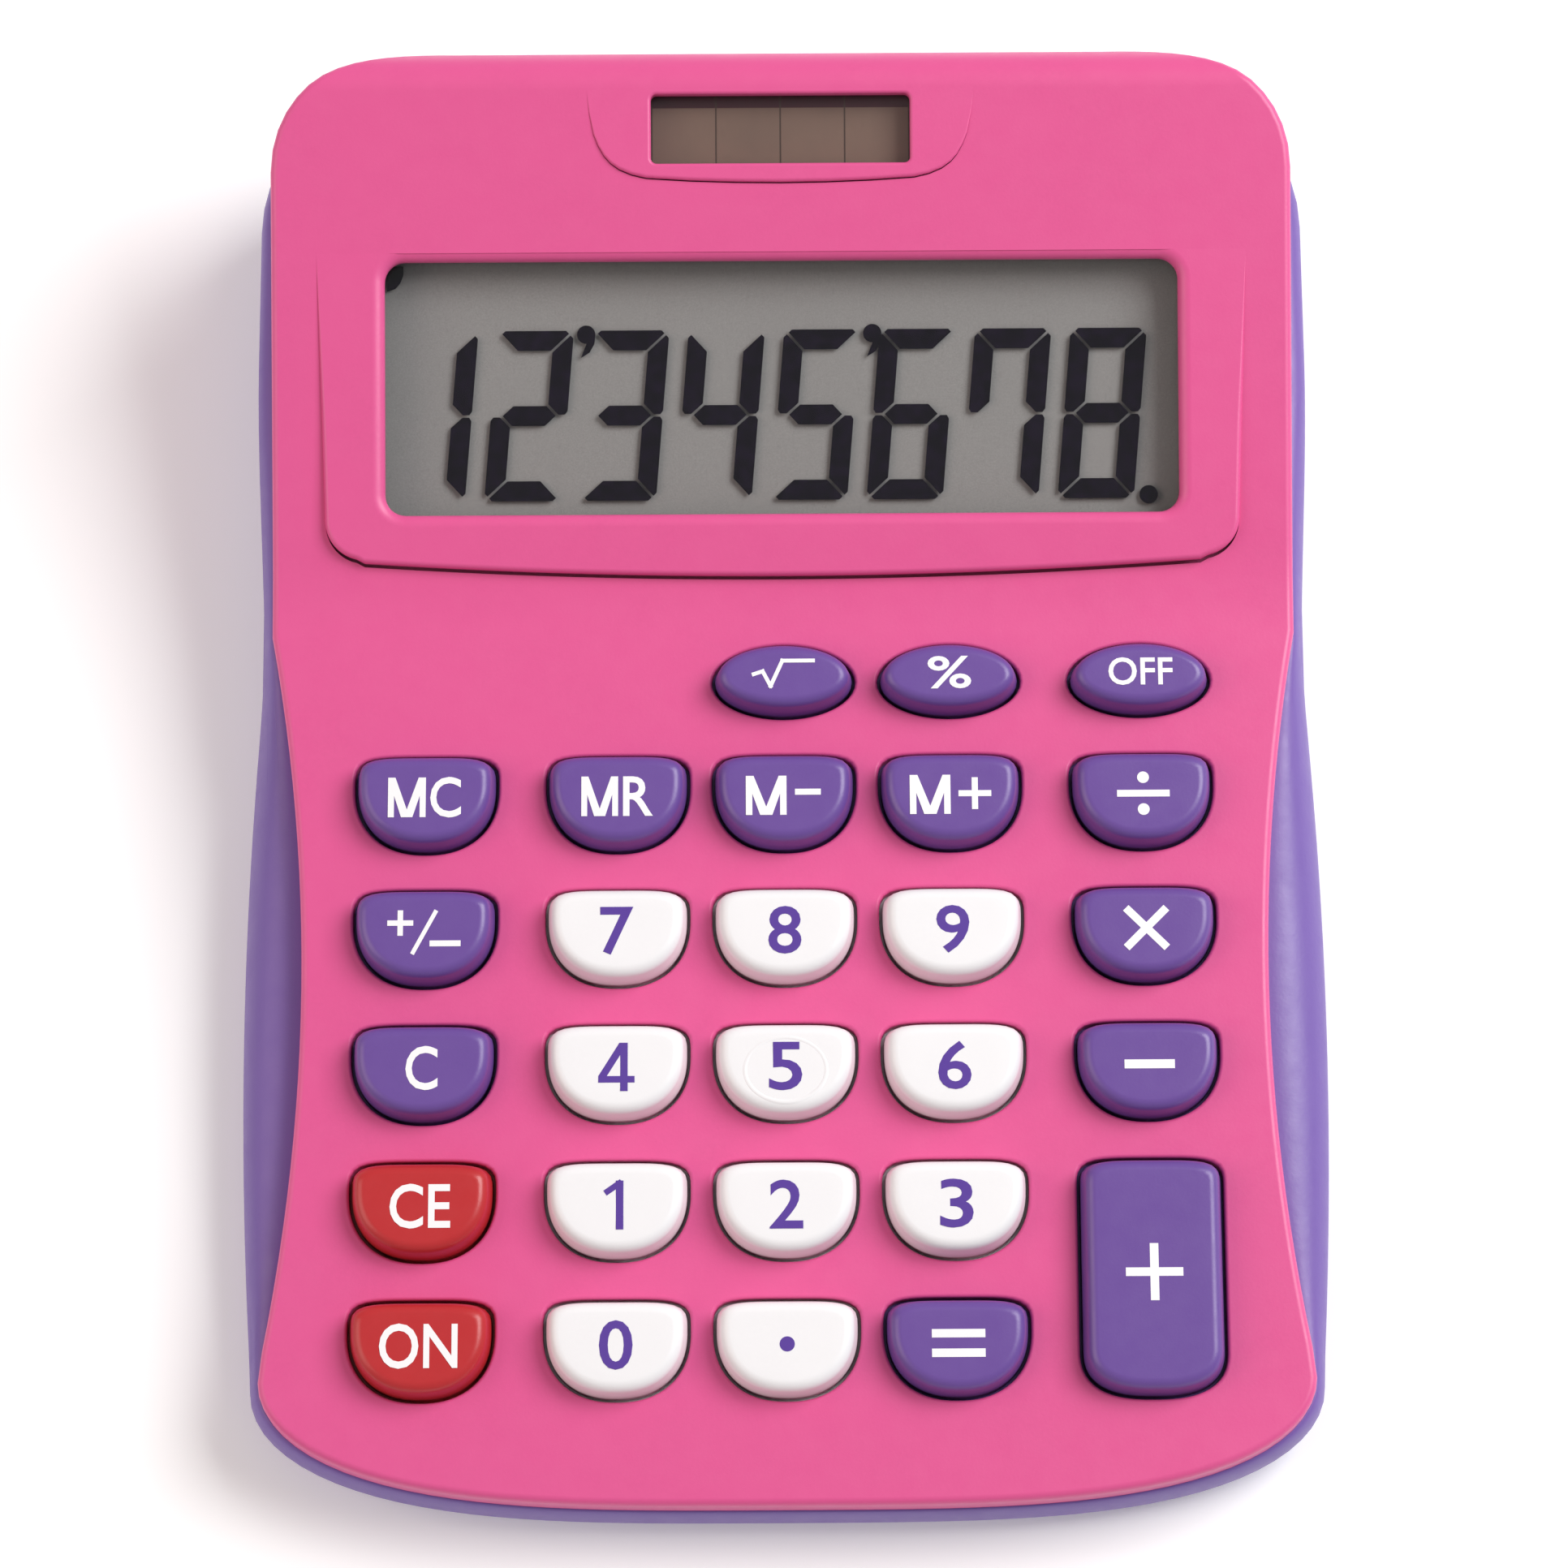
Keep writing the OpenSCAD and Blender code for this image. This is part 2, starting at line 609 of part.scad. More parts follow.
module top_shell() {
    color(pink) difference() {
        union() {
            difference() {
                union() {
                    intersection() {
                        top_solid(0);
                        above_seam(0);
                    }
                    on_panel(0, 0, -panel_rise - 0.3) panel_slab();
                    on_pod(0, 0, -pod_rise - 0.4) pod_slab();
                }
                top_solid(wall);
            }
            difference() {
                lip();
                ear_space();
            }
            top_bosses();
        }
        for (k = KEYS)
            on_keypad(column[k[1]], k[2], -2 * wall)
                linear_extrude(4 * wall) polygon(key_outline(k[3], key_gap));
        on_panel(0, 0, -5) plate(window_w, window_l, 10, window_r);
        on_panel(0, 0, window_top - 4)
            plate(window_w + 2 * window_lap + 2 * slip, window_l + 2 * window_lap + 2 * slip, 4);
        on_panel(0, -terminal_l / 2, glass_top + 0.2 - 4)
            plate(glass_w + 4 * slip, glass_l + terminal_l + 4 * slip, 4);
        on_pod(0, 0, -5) plate(solar_w, solar_l, 10);
        on_pod(0, 0, -solar_sink - 3)
            plate(solar_w + 2 * solar_lap + 2 * slip, solar_l + 2 * solar_lap + 2 * slip, 3);
        on_pod(0, 0, cell_top - cell_t) plate(cell_w + 2 * slip, cell_l + 2 * slip, cell_t + eps);
        for (p = CASE_SCREWS)
            translate([p[0], p[1], p[2] + seat_t])
                cylinder(r = screw_r + thread_gap, h = screw_l - seat_t + 0.4, $fn = 32);
        for (p = BOARD_SCREWS)
            on_keypad(p[0], p[1], board_top) cylinder(r = small_r + thread_gap, h = 3.4, $fn = 32);
        for (p = FRAME_SCREWS)
            on_panel(p[0], p[1], frame_top - eps)
                cylinder(r = small_r + thread_gap, h = 2.5, $fn = 32);
    }
}

module bottom_outer() {
    loft(concat(
        [for (a = [0, 30, 60, 90])
            level(mix(base_plan, rim_plan, sin(a)), 1 - cos(a))],
        [for (a = [25, 50, 70, 90])
            level(mix(seam_plan, rim_plan, cos(a)), 1 + sin(a))]));
}

module bottom_inner() {
    rim = inset(rim_plan, wall);
    seam = inset(seam_plan, wall);
    shoulder = wall - 0.2;
    loft(concat(
        [layer(outline(inset(rim, 1.5)), foot_h + floor_t)],
        [for (a = [0, 45, 90])
            level(mix(seam, rim, cos(a)), 1 + sin(a), shoulder * sin(a))],
        [level(seam, 2, -1)]));
}

module battery_block() {
    translate([0, battery_y, foot_h]) plate(door_w + 6, door_l + 6, rebate_top - foot_h + 1);
    translate([0, battery_y, foot_h]) cylinder(r = tower_r, h = tower_top - foot_h, $fn = 64);
}

module bottom_shell() {
    color(purple) difference() {
        union() {
            difference() {
                bottom_outer();
                bottom_inner();
            }
            intersection() {
                for (p = CASE_SCREWS)
                    translate([p[0], p[1], foot_h + eps])
                        cylinder(r = post_r, h = p[2] + seat_t - foot_h - eps, $fn = 48);
                bottom_outer();
            }
            battery_block();
        }
        for (p = CASE_SCREWS)
            translate([p[0], p[1], 0]) {
                cylinder(r = head_r + slip, h = p[2], $fn = 48);
                cylinder(r = screw_r + 0.2, h = p[2] + seat_t + 1, $fn = 32);
            }
        for (f = FEET)
            translate([f[1], f[2], 0]) cylinder(r = foot_r + 0.05, h = foot_h + foot_sink, $fn = 64);
        // rebate of the door, the well of the cell and the hinge's sockets
        translate([0, battery_y, 0]) plate(door_w + 2 * door_gap, door_l + 2 * door_gap, rebate_top, 0.6);
        translate([0, battery_y, 0]) cylinder(r = well_r, h = ceiling_z, $fn = 64);
        translate([0, hinge_y, hinge_z]) rotate([0, 90, 0])
            cylinder(r = pin_r + 0.05, h = door_w + 2 * pin_l + 0.6, center = true, $fn = 32);
        // slots for the two contact strips
        translate([-tower_r - 1, battery_y - strip_w / 2 - 0.2, rebate_top + 1])
            cube([tower_r + 1 - battery_r + slip, strip_w + 0.4, tower_top]);
        translate([-strip_w / 2 - 0.2, battery_y, ceiling_z - 0.5])
            cube([strip_w + 0.4, tower_r + 1, 0.6]);
    }
}

module battery_door() {
    tongue_w = 7;
    front_edge = battery_y - door_l / 2;
    color(purple) difference() {
        union() {
            translate([-door_w / 2, front_edge, foot_h])
                cube([door_w, hinge_y - front_edge, door_t]);
            translate([0, hinge_y, hinge_z]) rotate([0, 90, 0])
                cylinder(r = hinge_r, h = door_w, center = true, $fn = 48);
            translate([0, hinge_y, hinge_z]) rotate([0, 90, 0])
                cylinder(r = pin_r, h = door_w + 2 * pin_l, center = true, $fn = 32);
            // pad that holds the cell up, and the nib of the snap tongue
            translate([0, battery_y, foot_h + door_t - eps])
                cylinder(r = 3, h = cell_z - foot_h - door_t - 0.05, $fn = 48);
            translate([-tongue_w / 2 + 0.5, front_edge - 0.12, foot_h + 0.5])
                cube([tongue_w - 1, 1, 0.5]);
        }
        for (side = [-1, 1])
            translate([side * tongue_w / 2 - 0.3, front_edge - 1, 0]) cube([0.6, 7, 5]);
        for (i = [0:2])
            translate([-5, front_edge + 8 + 1.6 * i, foot_h - eps]) cube([10, 0.7, 0.35]);
    }
}

module rubber_foot(f) {
    color("#3c3c40") translate([f[1], f[2], 0]) rotate_extrude($fn = 64)
        polygon([[0, 0], [foot_r - 0.6, 0], [foot_r - 0.15, 0.2], [foot_r, 0.6],
            [foot_r, foot_h + foot_sink], [0, foot_h + foot_sink]]);
}

// ---------- Display ----------

module display_window() {
    color("#dfe6ea", 0.35) on_panel(0, 0, window_top - window_t)
        plate(window_w + 2 * window_lap, window_l + 2 * window_lap, window_t);
}

module display_glass() {
    color("#7d7d80") {
        on_panel(0, 0, glass_top - glass_t) plate(glass_w, glass_l, glass_t + eps, 0.3);
        on_panel(0, -terminal_l / 2, glass_under) plate(glass_w, glass_l + terminal_l, glass_t, 0.3);
    }
}

module display_reflector() {
    color("#a8a8a4") on_panel(0, 0, glass_under - reflector_t)
        plate(window_w + 3, window_l + 3, reflector_t, 0.5);
}

module display_frame() {
    side_x = glass_w / 2 + slip;
    rim_t = 1;
    color("#e8e8e8") difference() {
        union() {
            on_panel(0, -terminal_l / 2 + 0.3, frame_top - frame_t)
                plate(2 * (side_x + rim_t), glass_l + terminal_l + 2.6, frame_t);
            for (side = [-1, 1])
                on_panel(side * (side_x + rim_t / 2), 0, frame_top - eps)
                    translate([-rim_t / 2, -glass_l / 2, 0]) cube([rim_t, glass_l, 1.6]);
            on_panel(0, glass_l / 2 + slip, frame_top - eps)
                translate([-side_x, 0, 0]) cube([2 * side_x, rim_t, 1.6]);
            for (p = FRAME_SCREWS)
                on_panel(p[0], p[1], frame_top - frame_t)
                    translate([-(p[0] > 0 ? ear_in : ear_out), -ear_l / 2, 0])
                        cube([ear_in + ear_out, ear_l, frame_t - eps]);
        }
        for (p = FRAME_SCREWS)
            on_panel(p[0], p[1], frame_top - 2 * frame_t) cylinder(r = 1, h = 3 * frame_t, $fn = 32);
    }
}

module display_ribbon() {
    ribbon_t = 0.16;
    lift = glass_under + glass_t + ribbon_t / 2;
    land = board_top + ribbon_t / 2;
    start = -glass_l / 2 - 0.3;
    color("#c98b2e") strip(60, [
        panel_pt(start, lift), panel_pt(start - 2.2, lift), panel_pt(start - 4, lift - 0.4),
        panel_pt(start - 5.4, lift - 1.4), keypad_pt(board_rear + 1.4, land + 1.1),
        keypad_pt(board_rear - 0.2, land + 0.15), keypad_pt(board_rear - 1.4, land),
        keypad_pt(board_rear - 4, land)], ribbon_t);
}

// ---------- Solar cell ----------

module solar_window() {
    color("#c9c2bd", 0.35) on_pod(0, 0, -solar_sink - solar_window_t)
        plate(solar_w + 2 * solar_lap, solar_l + 2 * solar_lap, solar_window_t);
}

module solar_cell() {
    color("#6b564b") on_pod(0, 0, cell_top - cell_t) plate(cell_w, cell_l, cell_t, 0.3);
}

// ---------- Board and keypad ----------

module circuit_board() {
    half = board_w / 2;
    neck = half - 3;
    color("#2f6b45") difference() {
        on_keypad(0, 0, board_under) linear_extrude(board_t) polygon([
            [-neck, board_front], [neck, board_front], [half, board_front + 3],
            [half, board_rear - 8], [neck, board_rear - 6], [neck, board_rear],
            [-neck, board_rear], [-neck, board_rear - 6], [-half, board_rear - 8],
            [-half, board_front + 3]]);
        for (p = BOARD_SCREWS)
            on_keypad(p[0], p[1], board_under - 1) cylinder(r = 1.1, h = board_t + 2, $fn = 32);
    }
}

module chip_cover() {
    cover_r = 6;
    cover_h = 1.6;
    ball_r = (cover_r * cover_r + cover_h * cover_h) / (2 * cover_h);
    reach = asin(cover_r / ball_r);
    color("#16161a") on_keypad(0, row[3] + row_pitch / 2, board_under) rotate([180, 0, 0])
        rotate_extrude($fn = 64) polygon(concat([[0, 0]], [for (i = [6:-1:0])
            let (c = reach * i / 6) [ball_r * sin(c), ball_r * cos(c) - ball_r + cover_h]]));
}

module board_components() {
    color("#3a3a3e") for (i = [0:5])
        on_keypad(-14 + 5.6 * i, row[2] + (i % 2) * 4, board_under - 0.6)
            translate([-1, -0.6, 0]) cube([2, 1.2, 0.6]);
    color("#b5813d") for (i = [0:2])
        on_keypad(12 + 4 * i, oval_row - 5, board_under - 0.9)
            translate([-0.8, -1.3, 0]) cube([1.6, 2.6, 0.9]);
}

module buffer_capacitor() {
    can_r = 2;
    color("#27324e") on_keypad(-30, oval_row - 6, board_under - can_r) rotate([90, 0, 0]) {
        cylinder(r = can_r, h = 5, center = true, $fn = 48);
        cylinder(r = can_r - 0.25, h = 5.4, center = true, $fn = 48);
    }
}

module rubber_keypad() {
    cavity_r = dome_r - 0.9;
    color("#c9c9cd") difference() {
        union() {
            on_keypad(0, (board_front + 0.6 + sheet_rear) / 2, board_top)
                plate(sheet_w, sheet_rear - board_front - 0.6, sheet_t, 2);
            for (k = KEYS)
                on_keypad(column[k[1]], k[2], sheet_top - eps) {
                    cylinder(r1 = dome_r, r2 = dome_r - 1.2, h = key_travel + eps, $fn = 48);
                    cylinder(r = dome_r - 1.8, h = dome_h + eps, $fn = 48);
                }
        }
        for (k = KEYS)
            on_keypad(column[k[1]], k[2], board_top - eps)
                cylinder(r1 = cavity_r, r2 = cavity_r - 1, h = sheet_t + dome_h - 0.8, $fn = 48);
        for (p = BOARD_SCREWS)
            on_keypad(p[0], p[1], board_top - 1) cylinder(r = 2.3, h = sheet_t + 2, $fn = 48);
    }
}

module key_contacts() {
    pill_t = 0.4;
    color("#1a1a1c") for (k = KEYS)
        on_keypad(column[k[1]], k[2], board_top + sheet_t + dome_h - 0.8 - eps - pill_t)
            cylinder(r = 1.5, h = pill_t, $fn = 32);
}

// ---------- Keys ----------

module push_key(k) {
    shape = k[3];
    skirt = key_outline(shape, flange_w);
    color(k[4]) on_keypad(column[k[1]], k[2], 0) {
        difference() {
            union() {
                loft([
                    layer(key_outline(shape, 0), flange_top - eps),
                    layer(key_outline(shape, -0.05), 0),
                    layer(key_outline(shape, -0.35), key_rise - 1),
                    layer(key_outline(shape, -0.6), key_rise - 0.45),
                    layer(key_outline(shape, -1), key_rise - 0.12),
                    layer(key_outline(shape, -1.7), key_rise)]);
                translate([0, 0, flange_top - flange_t]) linear_extrude(flange_t) polygon(skirt);
            }
            translate([0, 0, flange_top - flange_t - eps])
                linear_extrude(key_rise - key_wall - flange_top + flange_t)
                    polygon(key_outline(shape, -key_wall - 0.3));
        }
        translate([0, 0, key_foot]) cylinder(r = 1.7, h = key_rise - 1 - key_foot, $fn = 48);
        translate([-0.4, -2.6, flange_top]) cube([0.8, 5.2, key_rise - 1 - flange_top]);
    }
}

// ---------- Battery ----------

module button_cell() {
    color("#b9bcc2") translate([0, battery_y, cell_z]) rotate_extrude($fn = 64) polygon([
        [0, 0], [battery_r - 0.3, 0], [battery_r, 0.3], [battery_r, battery_h - 0.7],
        [battery_r - 0.4, battery_h - 0.5], [battery_r - 1, battery_h - 0.5],
        [battery_r - 1.3, battery_h], [0, battery_h]]);
}

module battery_contact_plus() {
    x = -battery_r - strip_t / 2 - 0.02;
    color("#c7c9cc") translate([0, battery_y, 0]) rotate([0, 0, 90]) strip(strip_w, [
        [-x + 0.3, cell_z + 0.6], [-x, cell_z + 2.6], [-x + 0.3, cell_z + 4.6],
        [-x + 0.3, tower_top + 0.1], [-x + 0.5, tower_top + 0.35], [-x + 3.6, tower_top + 0.35]],
        strip_t);
}

module battery_contact_minus() {
    touch = cell_z + battery_h + strip_t / 2 + 0.01;
    rest = ceiling_z - strip_t / 2 - 0.02;
    y = battery_y;
    color("#c7c9cc") strip(strip_w, [
        [y - 4, rest], [y - 2, touch + 0.1], [y, touch], [y + 2, touch + 0.1], [y + 4, rest],
        [y + tower_r + 0.6, rest], [y + tower_r + 0.9, rest + 0.3],
        [y + tower_r + 0.9, tower_top + 1]], strip_t);
}

// ---------- Screws ----------

module case_screws() {
    color("#8e9096") for (p = CASE_SCREWS)
        translate(p) screw(screw_r, screw_l, head_r, 1.2);
}

module board_screws() {
    color("#8e9096") for (p = BOARD_SCREWS)
        on_keypad(p[0], p[1], board_under) screw(small_r, board_t + 3, small_head_r, small_head_t);
}

module frame_screws() {
    color("#8e9096") for (p = FRAME_SCREWS)
        on_panel(p[0], p[1], frame_top - frame_t) screw(small_r, frame_t + 2.2, small_head_r, small_head_t);
}

module solar_lead_left() { color("#202024") lead(SOLAR_LEFT); }
module solar_lead_right() { color("#b02020") lead(SOLAR_RIGHT); }
module battery_lead_left() { color("#b02020") lead(BATTERY_LEFT); }
module battery_lead_right() { color("#202024") lead(BATTERY_RIGHT); }

top_shell();
bottom_shell();
battery_door();
display_window();
display_glass();
display_reflector();
display_frame();
display_ribbon();
solar_window();
solar_cell();
circuit_board();
chip_cover();
board_components();
buffer_capacitor();
rubber_keypad();
key_contacts();
button_cell();
battery_contact_plus();
battery_contact_minus();
solar_lead_left();
solar_lead_right();
battery_lead_left();
battery_lead_right();
case_screws();
board_screws();
frame_screws();
for (f = FEET) rubber_foot(f);
for (k = KEYS) push_key(k);
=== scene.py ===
"""Desk calculator: the visual model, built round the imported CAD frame. Sizes are in millimetres."""

import json
import logging
import math
from collections.abc import Callable, Iterable, Mapping, Sequence
from dataclasses import dataclass
from enum import Enum

import bmesh
import bpy
from mathutils import Matrix, Vector
from mathutils.geometry import delaunay_2d_cdt


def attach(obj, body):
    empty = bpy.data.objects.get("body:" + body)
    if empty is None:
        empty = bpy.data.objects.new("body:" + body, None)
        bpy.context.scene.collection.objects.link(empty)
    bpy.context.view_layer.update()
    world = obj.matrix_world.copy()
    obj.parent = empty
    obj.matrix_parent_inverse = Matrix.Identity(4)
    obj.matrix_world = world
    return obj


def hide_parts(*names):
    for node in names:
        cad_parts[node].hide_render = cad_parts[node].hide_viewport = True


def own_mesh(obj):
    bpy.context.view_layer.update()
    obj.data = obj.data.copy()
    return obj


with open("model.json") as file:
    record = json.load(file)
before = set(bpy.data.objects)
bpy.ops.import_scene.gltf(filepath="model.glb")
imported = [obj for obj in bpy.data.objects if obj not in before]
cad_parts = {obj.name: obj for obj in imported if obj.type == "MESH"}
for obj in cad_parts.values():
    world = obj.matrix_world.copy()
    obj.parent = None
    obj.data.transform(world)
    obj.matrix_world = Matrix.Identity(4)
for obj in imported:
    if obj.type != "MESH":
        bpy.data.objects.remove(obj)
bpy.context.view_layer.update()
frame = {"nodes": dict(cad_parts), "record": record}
LOG = logging.getLogger("calculator")
MM = 0.001
Corner = tuple[Vector, Vector]
Outline = list[tuple[float, float, float, float]]


# ---------- Finishes ----------


def linear(code: str) -> tuple[float, float, float, float]:
    """Turn an sRGB hex colour into linear red, green, blue and alpha.

    Args:
        code: Colour such as "#e9558b".

    Returns:
        The four linear values, alpha being 1.
    """
    parts = [int(code[i : i + 2], 16) / 255 for i in (1, 3, 5)]
    r, g, b = (p / 12.92 if p <= 0.04045 else ((p + 0.055) / 1.055) ** 2.4 for p in parts)
    return r, g, b, 1.0


def add(tree: bpy.types.NodeTree, kind: str, links: Mapping | None = None, **settings) -> bpy.types.Node:
    """Add a node, with its settings and what feeds its inputs.

    Args:
        tree: Node tree that gets the node.
        kind: Type name of the node.
        links: Input name or number to an output socket, or to a plain value.
        **settings: Attributes of the node itself.

    Returns:
        The new node.
    """
    made = tree.nodes.new(kind)
    for key, value in settings.items():
        setattr(made, key, value)
    for key, value in (links or {}).items():
        if isinstance(value, bpy.types.NodeSocket):
            tree.links.new(value, made.inputs[key])
        else:
            made.inputs[key].default_value = value
    return made


def new_material(name: str) -> tuple[bpy.types.Material, bpy.types.NodeTree, bpy.types.NodeSocket]:
    """Start a material with an empty tree.

    Args:
        name: Name of the material.

    Returns:
        The material, its tree, and the socket of Object coordinates in metres.
    """
    made = bpy.data.materials.new(name)
    made.use_nodes = True
    made.node_tree.nodes.clear()
    return made, made.node_tree, add(made.node_tree, "ShaderNodeTexCoord").outputs["Object"]


def noise(tree: bpy.types.NodeTree, where: bpy.types.NodeSocket, size: float, detail: float = 2.0):
    """Noise whose lumps are about size millimetres across.

    Args:
        tree: Node tree that gets the node.
        where: Coordinates in metres.
        size: Width of a lump in millimetres.
        detail: Number of finer layers.

    Returns:
        The output socket, from 0 to 1.
    """
    links = {"Vector": where, "Scale": 1 / (size * MM), "Detail": detail, "Roughness": 0.55}
    return add(tree, "ShaderNodeTexNoise", links).outputs["Fac"]


def remap(tree: bpy.types.NodeTree, value, low: float, high: float, to_low: float, to_high: float):
    """Map a value from one range onto another, held at its ends.

    Args:
        tree: Node tree that gets the node.
        value: Output socket that is mapped.
        low: Start of the value's range.
        high: End of the value's range.
        to_low: Result at the start.
        to_high: Result at the end.

    Returns:
        The mapped output socket.
    """
    links = {"Value": value, "From Min": low, "From Max": high, "To Min": to_low, "To Max": to_high}
    return add(tree, "ShaderNodeMapRange", links).outputs["Result"]


def blend_colours(tree: bpy.types.NodeTree, share, a, b):
    """Mix two colours.

    Args:
        tree: Node tree that gets the node.
        share: Socket with the share of the second colour.
        a: First colour, a socket or four linear values.
        b: Second colour, a socket or four linear values.

    Returns:
        The mixed colour's output socket.
    """
    links = {0: share, 6: a, 7: b}
    return add(tree, "ShaderNodeMix", links, data_type="RGBA").outputs[2]


@dataclass(frozen=True)
class Moulded:
    """Injection-moulded plastic: an even colour with faint mottling over a spark-eroded grain."""

    name: str
    colour: str
    roughness: float = 0.42
    grain: float = 0.35
    depth: float = 0.012
    mottle: float = 0.05
    ior: float = 1.53
    coat: float = 0.0
    grip_grain: float = 0.0

    def build(self) -> bpy.types.Material:
        """Make the material."""
        made, tree, where = new_material(self.name)
        base = linear(self.colour)
        shade = tuple(c * (1 - self.mottle) for c in base[:3]) + (1.0,)
        cloud = remap(tree, noise(tree, where, 9.0, 3.0), 0.35, 0.65, 0.0, 1.0)
        speck = remap(tree, noise(tree, where, 0.5), 0.3, 0.7, 0.0, 0.6)
        both = add(tree, "ShaderNodeMath", {0: cloud, 1: speck}, operation="MULTIPLY").outputs[0]
        grain = noise(tree, where, self.grain, 2.0)
        if self.grip_grain:
            side = add(tree, "ShaderNodeSeparateXYZ", {0: where})
            width = add(tree, "ShaderNodeMath", {0: side.outputs["X"]}, operation="ABSOLUTE").outputs[0]
            zone = remap(tree, width, 48.5 * MM, 50.5 * MM, 0.0, self.grip_grain)
            coarse = noise(tree, where, 0.8, 1.0)
            lift = add(tree, "ShaderNodeMath", {0: coarse, 1: zone}, operation="MULTIPLY").outputs[0]
            grain = add(tree, "ShaderNodeMath", {0: grain, 1: lift}, operation="ADD").outputs[0]
        bump = add(tree, "ShaderNodeBump", {"Strength": 1.0, "Distance": self.depth * MM, "Height": grain})
        rough = remap(tree, noise(tree, where, 2.5), 0.3, 0.7, self.roughness - 0.04, self.roughness + 0.05)
        shader = add(tree, "ShaderNodeBsdfPrincipled", {
            "Base Color": blend_colours(tree, both, base, shade), "Roughness": rough,
            "IOR": self.ior, "Coat Weight": self.coat, "Coat Roughness": 0.25, "Normal": bump.outputs[0]})
        add(tree, "ShaderNodeOutputMaterial", {"Surface": shader.outputs[0]})
        return made


@dataclass(frozen=True)
class Rubber:
    """Moulded silicone or rubber: soft sheen, dusty bloom and a faint skin texture."""

    name: str
    colour: str
    dust: str
    roughness: float = 0.6

    def build(self) -> bpy.types.Material:
        """Make the material."""
        made, tree, where = new_material(self.name)
        bloom = remap(tree, noise(tree, where, 3.0, 4.0), 0.45, 0.75, 0.0, 0.35)
        bump = add(tree, "ShaderNodeBump", {
            "Strength": 1.0, "Distance": 0.015 * MM, "Height": noise(tree, where, 0.4)})
        shader = add(tree, "ShaderNodeBsdfPrincipled", {
            "Base Color": blend_colours(tree, bloom, linear(self.colour), linear(self.dust)),
            "Roughness": remap(tree, bloom, 0.0, 0.35, self.roughness, self.roughness + 0.15),
            "IOR": 1.43, "Sheen Weight": 0.15, "Sheen Roughness": 0.5, "Normal": bump.outputs[0]})
        add(tree, "ShaderNodeOutputMaterial", {"Surface": shader.outputs[0]})
        return made


@dataclass(frozen=True)
class Metal:
    """Plated or bare metal with fine brush lines, and dull spots where it is handled."""

    name: str
    colour: str
    roughness: float
    line: float = 0.15
    stretch: tuple[float, float, float] = (1.0, 1.0, 1.0)

    def build(self) -> bpy.types.Material:
        """Make the material."""
        made, tree, where = new_material(self.name)
        drawn = add(tree, "ShaderNodeMapping", {"Vector": where, "Scale": self.stretch}).outputs[0]
        lines = noise(tree, drawn, self.line, 3.0)
        dull = remap(tree, noise(tree, where, 1.6, 3.0), 0.4, 0.7, 0.0, 1.0)
        base = linear(self.colour)
        dark = tuple(c * 0.72 for c in base[:3]) + (1.0,)
        bump = add(tree, "ShaderNodeBump", {"Strength": 0.6, "Distance": 0.006 * MM, "Height": lines})
        shader = add(tree, "ShaderNodeBsdfPrincipled", {
            "Base Color": blend_colours(tree, dull, base, dark), "Metallic": 1.0,
            "Roughness": remap(tree, dull, 0.0, 1.0, self.roughness, self.roughness + 0.18),
            "Normal": bump.outputs[0]})
        add(tree, "ShaderNodeOutputMaterial", {"Surface": shader.outputs[0]})
        return made


@dataclass(frozen=True)
class ClearSheet:
    """Clear pressed acrylic or cell glass: light passes straight through, with gloss and fine hairlines."""

    name: str
    tint: str
    gloss: float
    roughness: float = 0.06

    def build(self) -> bpy.types.Material:
        """Make the material."""
        made, tree, where = new_material(self.name)
        drawn = add(tree, "ShaderNodeMapping", {"Vector": where, "Scale": (1.0, 0.08, 1.0)}).outputs[0]
        hair = remap(tree, noise(tree, drawn, 0.25, 3.0), 0.62, 0.72, 0.0, 1.0)
        tint = linear(self.tint)
        dim = tuple(c * 0.97 for c in tint[:3]) + (1.0,)
        through = add(tree, "ShaderNodeBsdfTransparent", {"Color": blend_colours(tree, hair, tint, dim)})
        worn = remap(tree, hair, 0, 1, self.roughness, self.roughness + 0.08)
        shine = add(tree, "ShaderNodeBsdfGlossy", {"Color": (1, 1, 1, 1), "Roughness": worn})
        edge = add(tree, "ShaderNodeLayerWeight", {"Blend": 0.5}).outputs["Facing"]
        steep = add(tree, "ShaderNodeMath", {0: edge, 1: 5.0}, operation="POWER").outputs[0]
        share = remap(tree, steep, 0.0, 1.0, 0.04 * self.gloss, self.gloss)
        mixed = add(tree, "ShaderNodeMixShader", {0: share, 1: through.outputs[0], 2: shine.outputs[0]})
        add(tree, "ShaderNodeOutputMaterial", {"Surface": mixed.outputs[0]})
        return made


@dataclass(frozen=True)
class Foil:
    """Reflector film behind the display: grey transflective foil with the sparkle of fine flakes."""

    name: str
    colour: str
    flake: str

    def build(self) -> bpy.types.Material:
        """Make the material."""
        made, tree, where = new_material(self.name)
        flakes = remap(tree, noise(tree, where, 0.16, 1.0), 0.35, 0.7, 0.0, 1.0)
        cloud = remap(tree, noise(tree, where, 14.0), 0.3, 0.7, 0.0, 0.25)
        tone = blend_colours(tree, flakes, linear(self.colour), linear(self.flake))
        shader = add(tree, "ShaderNodeBsdfPrincipled", {
            "Base Color": blend_colours(tree, cloud, tone, linear(self.colour)),
            "Roughness": remap(tree, flakes, 0, 1, 0.75, 0.6), "Specular IOR Level": 0.2})
        add(tree, "ShaderNodeOutputMaterial", {"Surface": shader.outputs[0]})
        return made


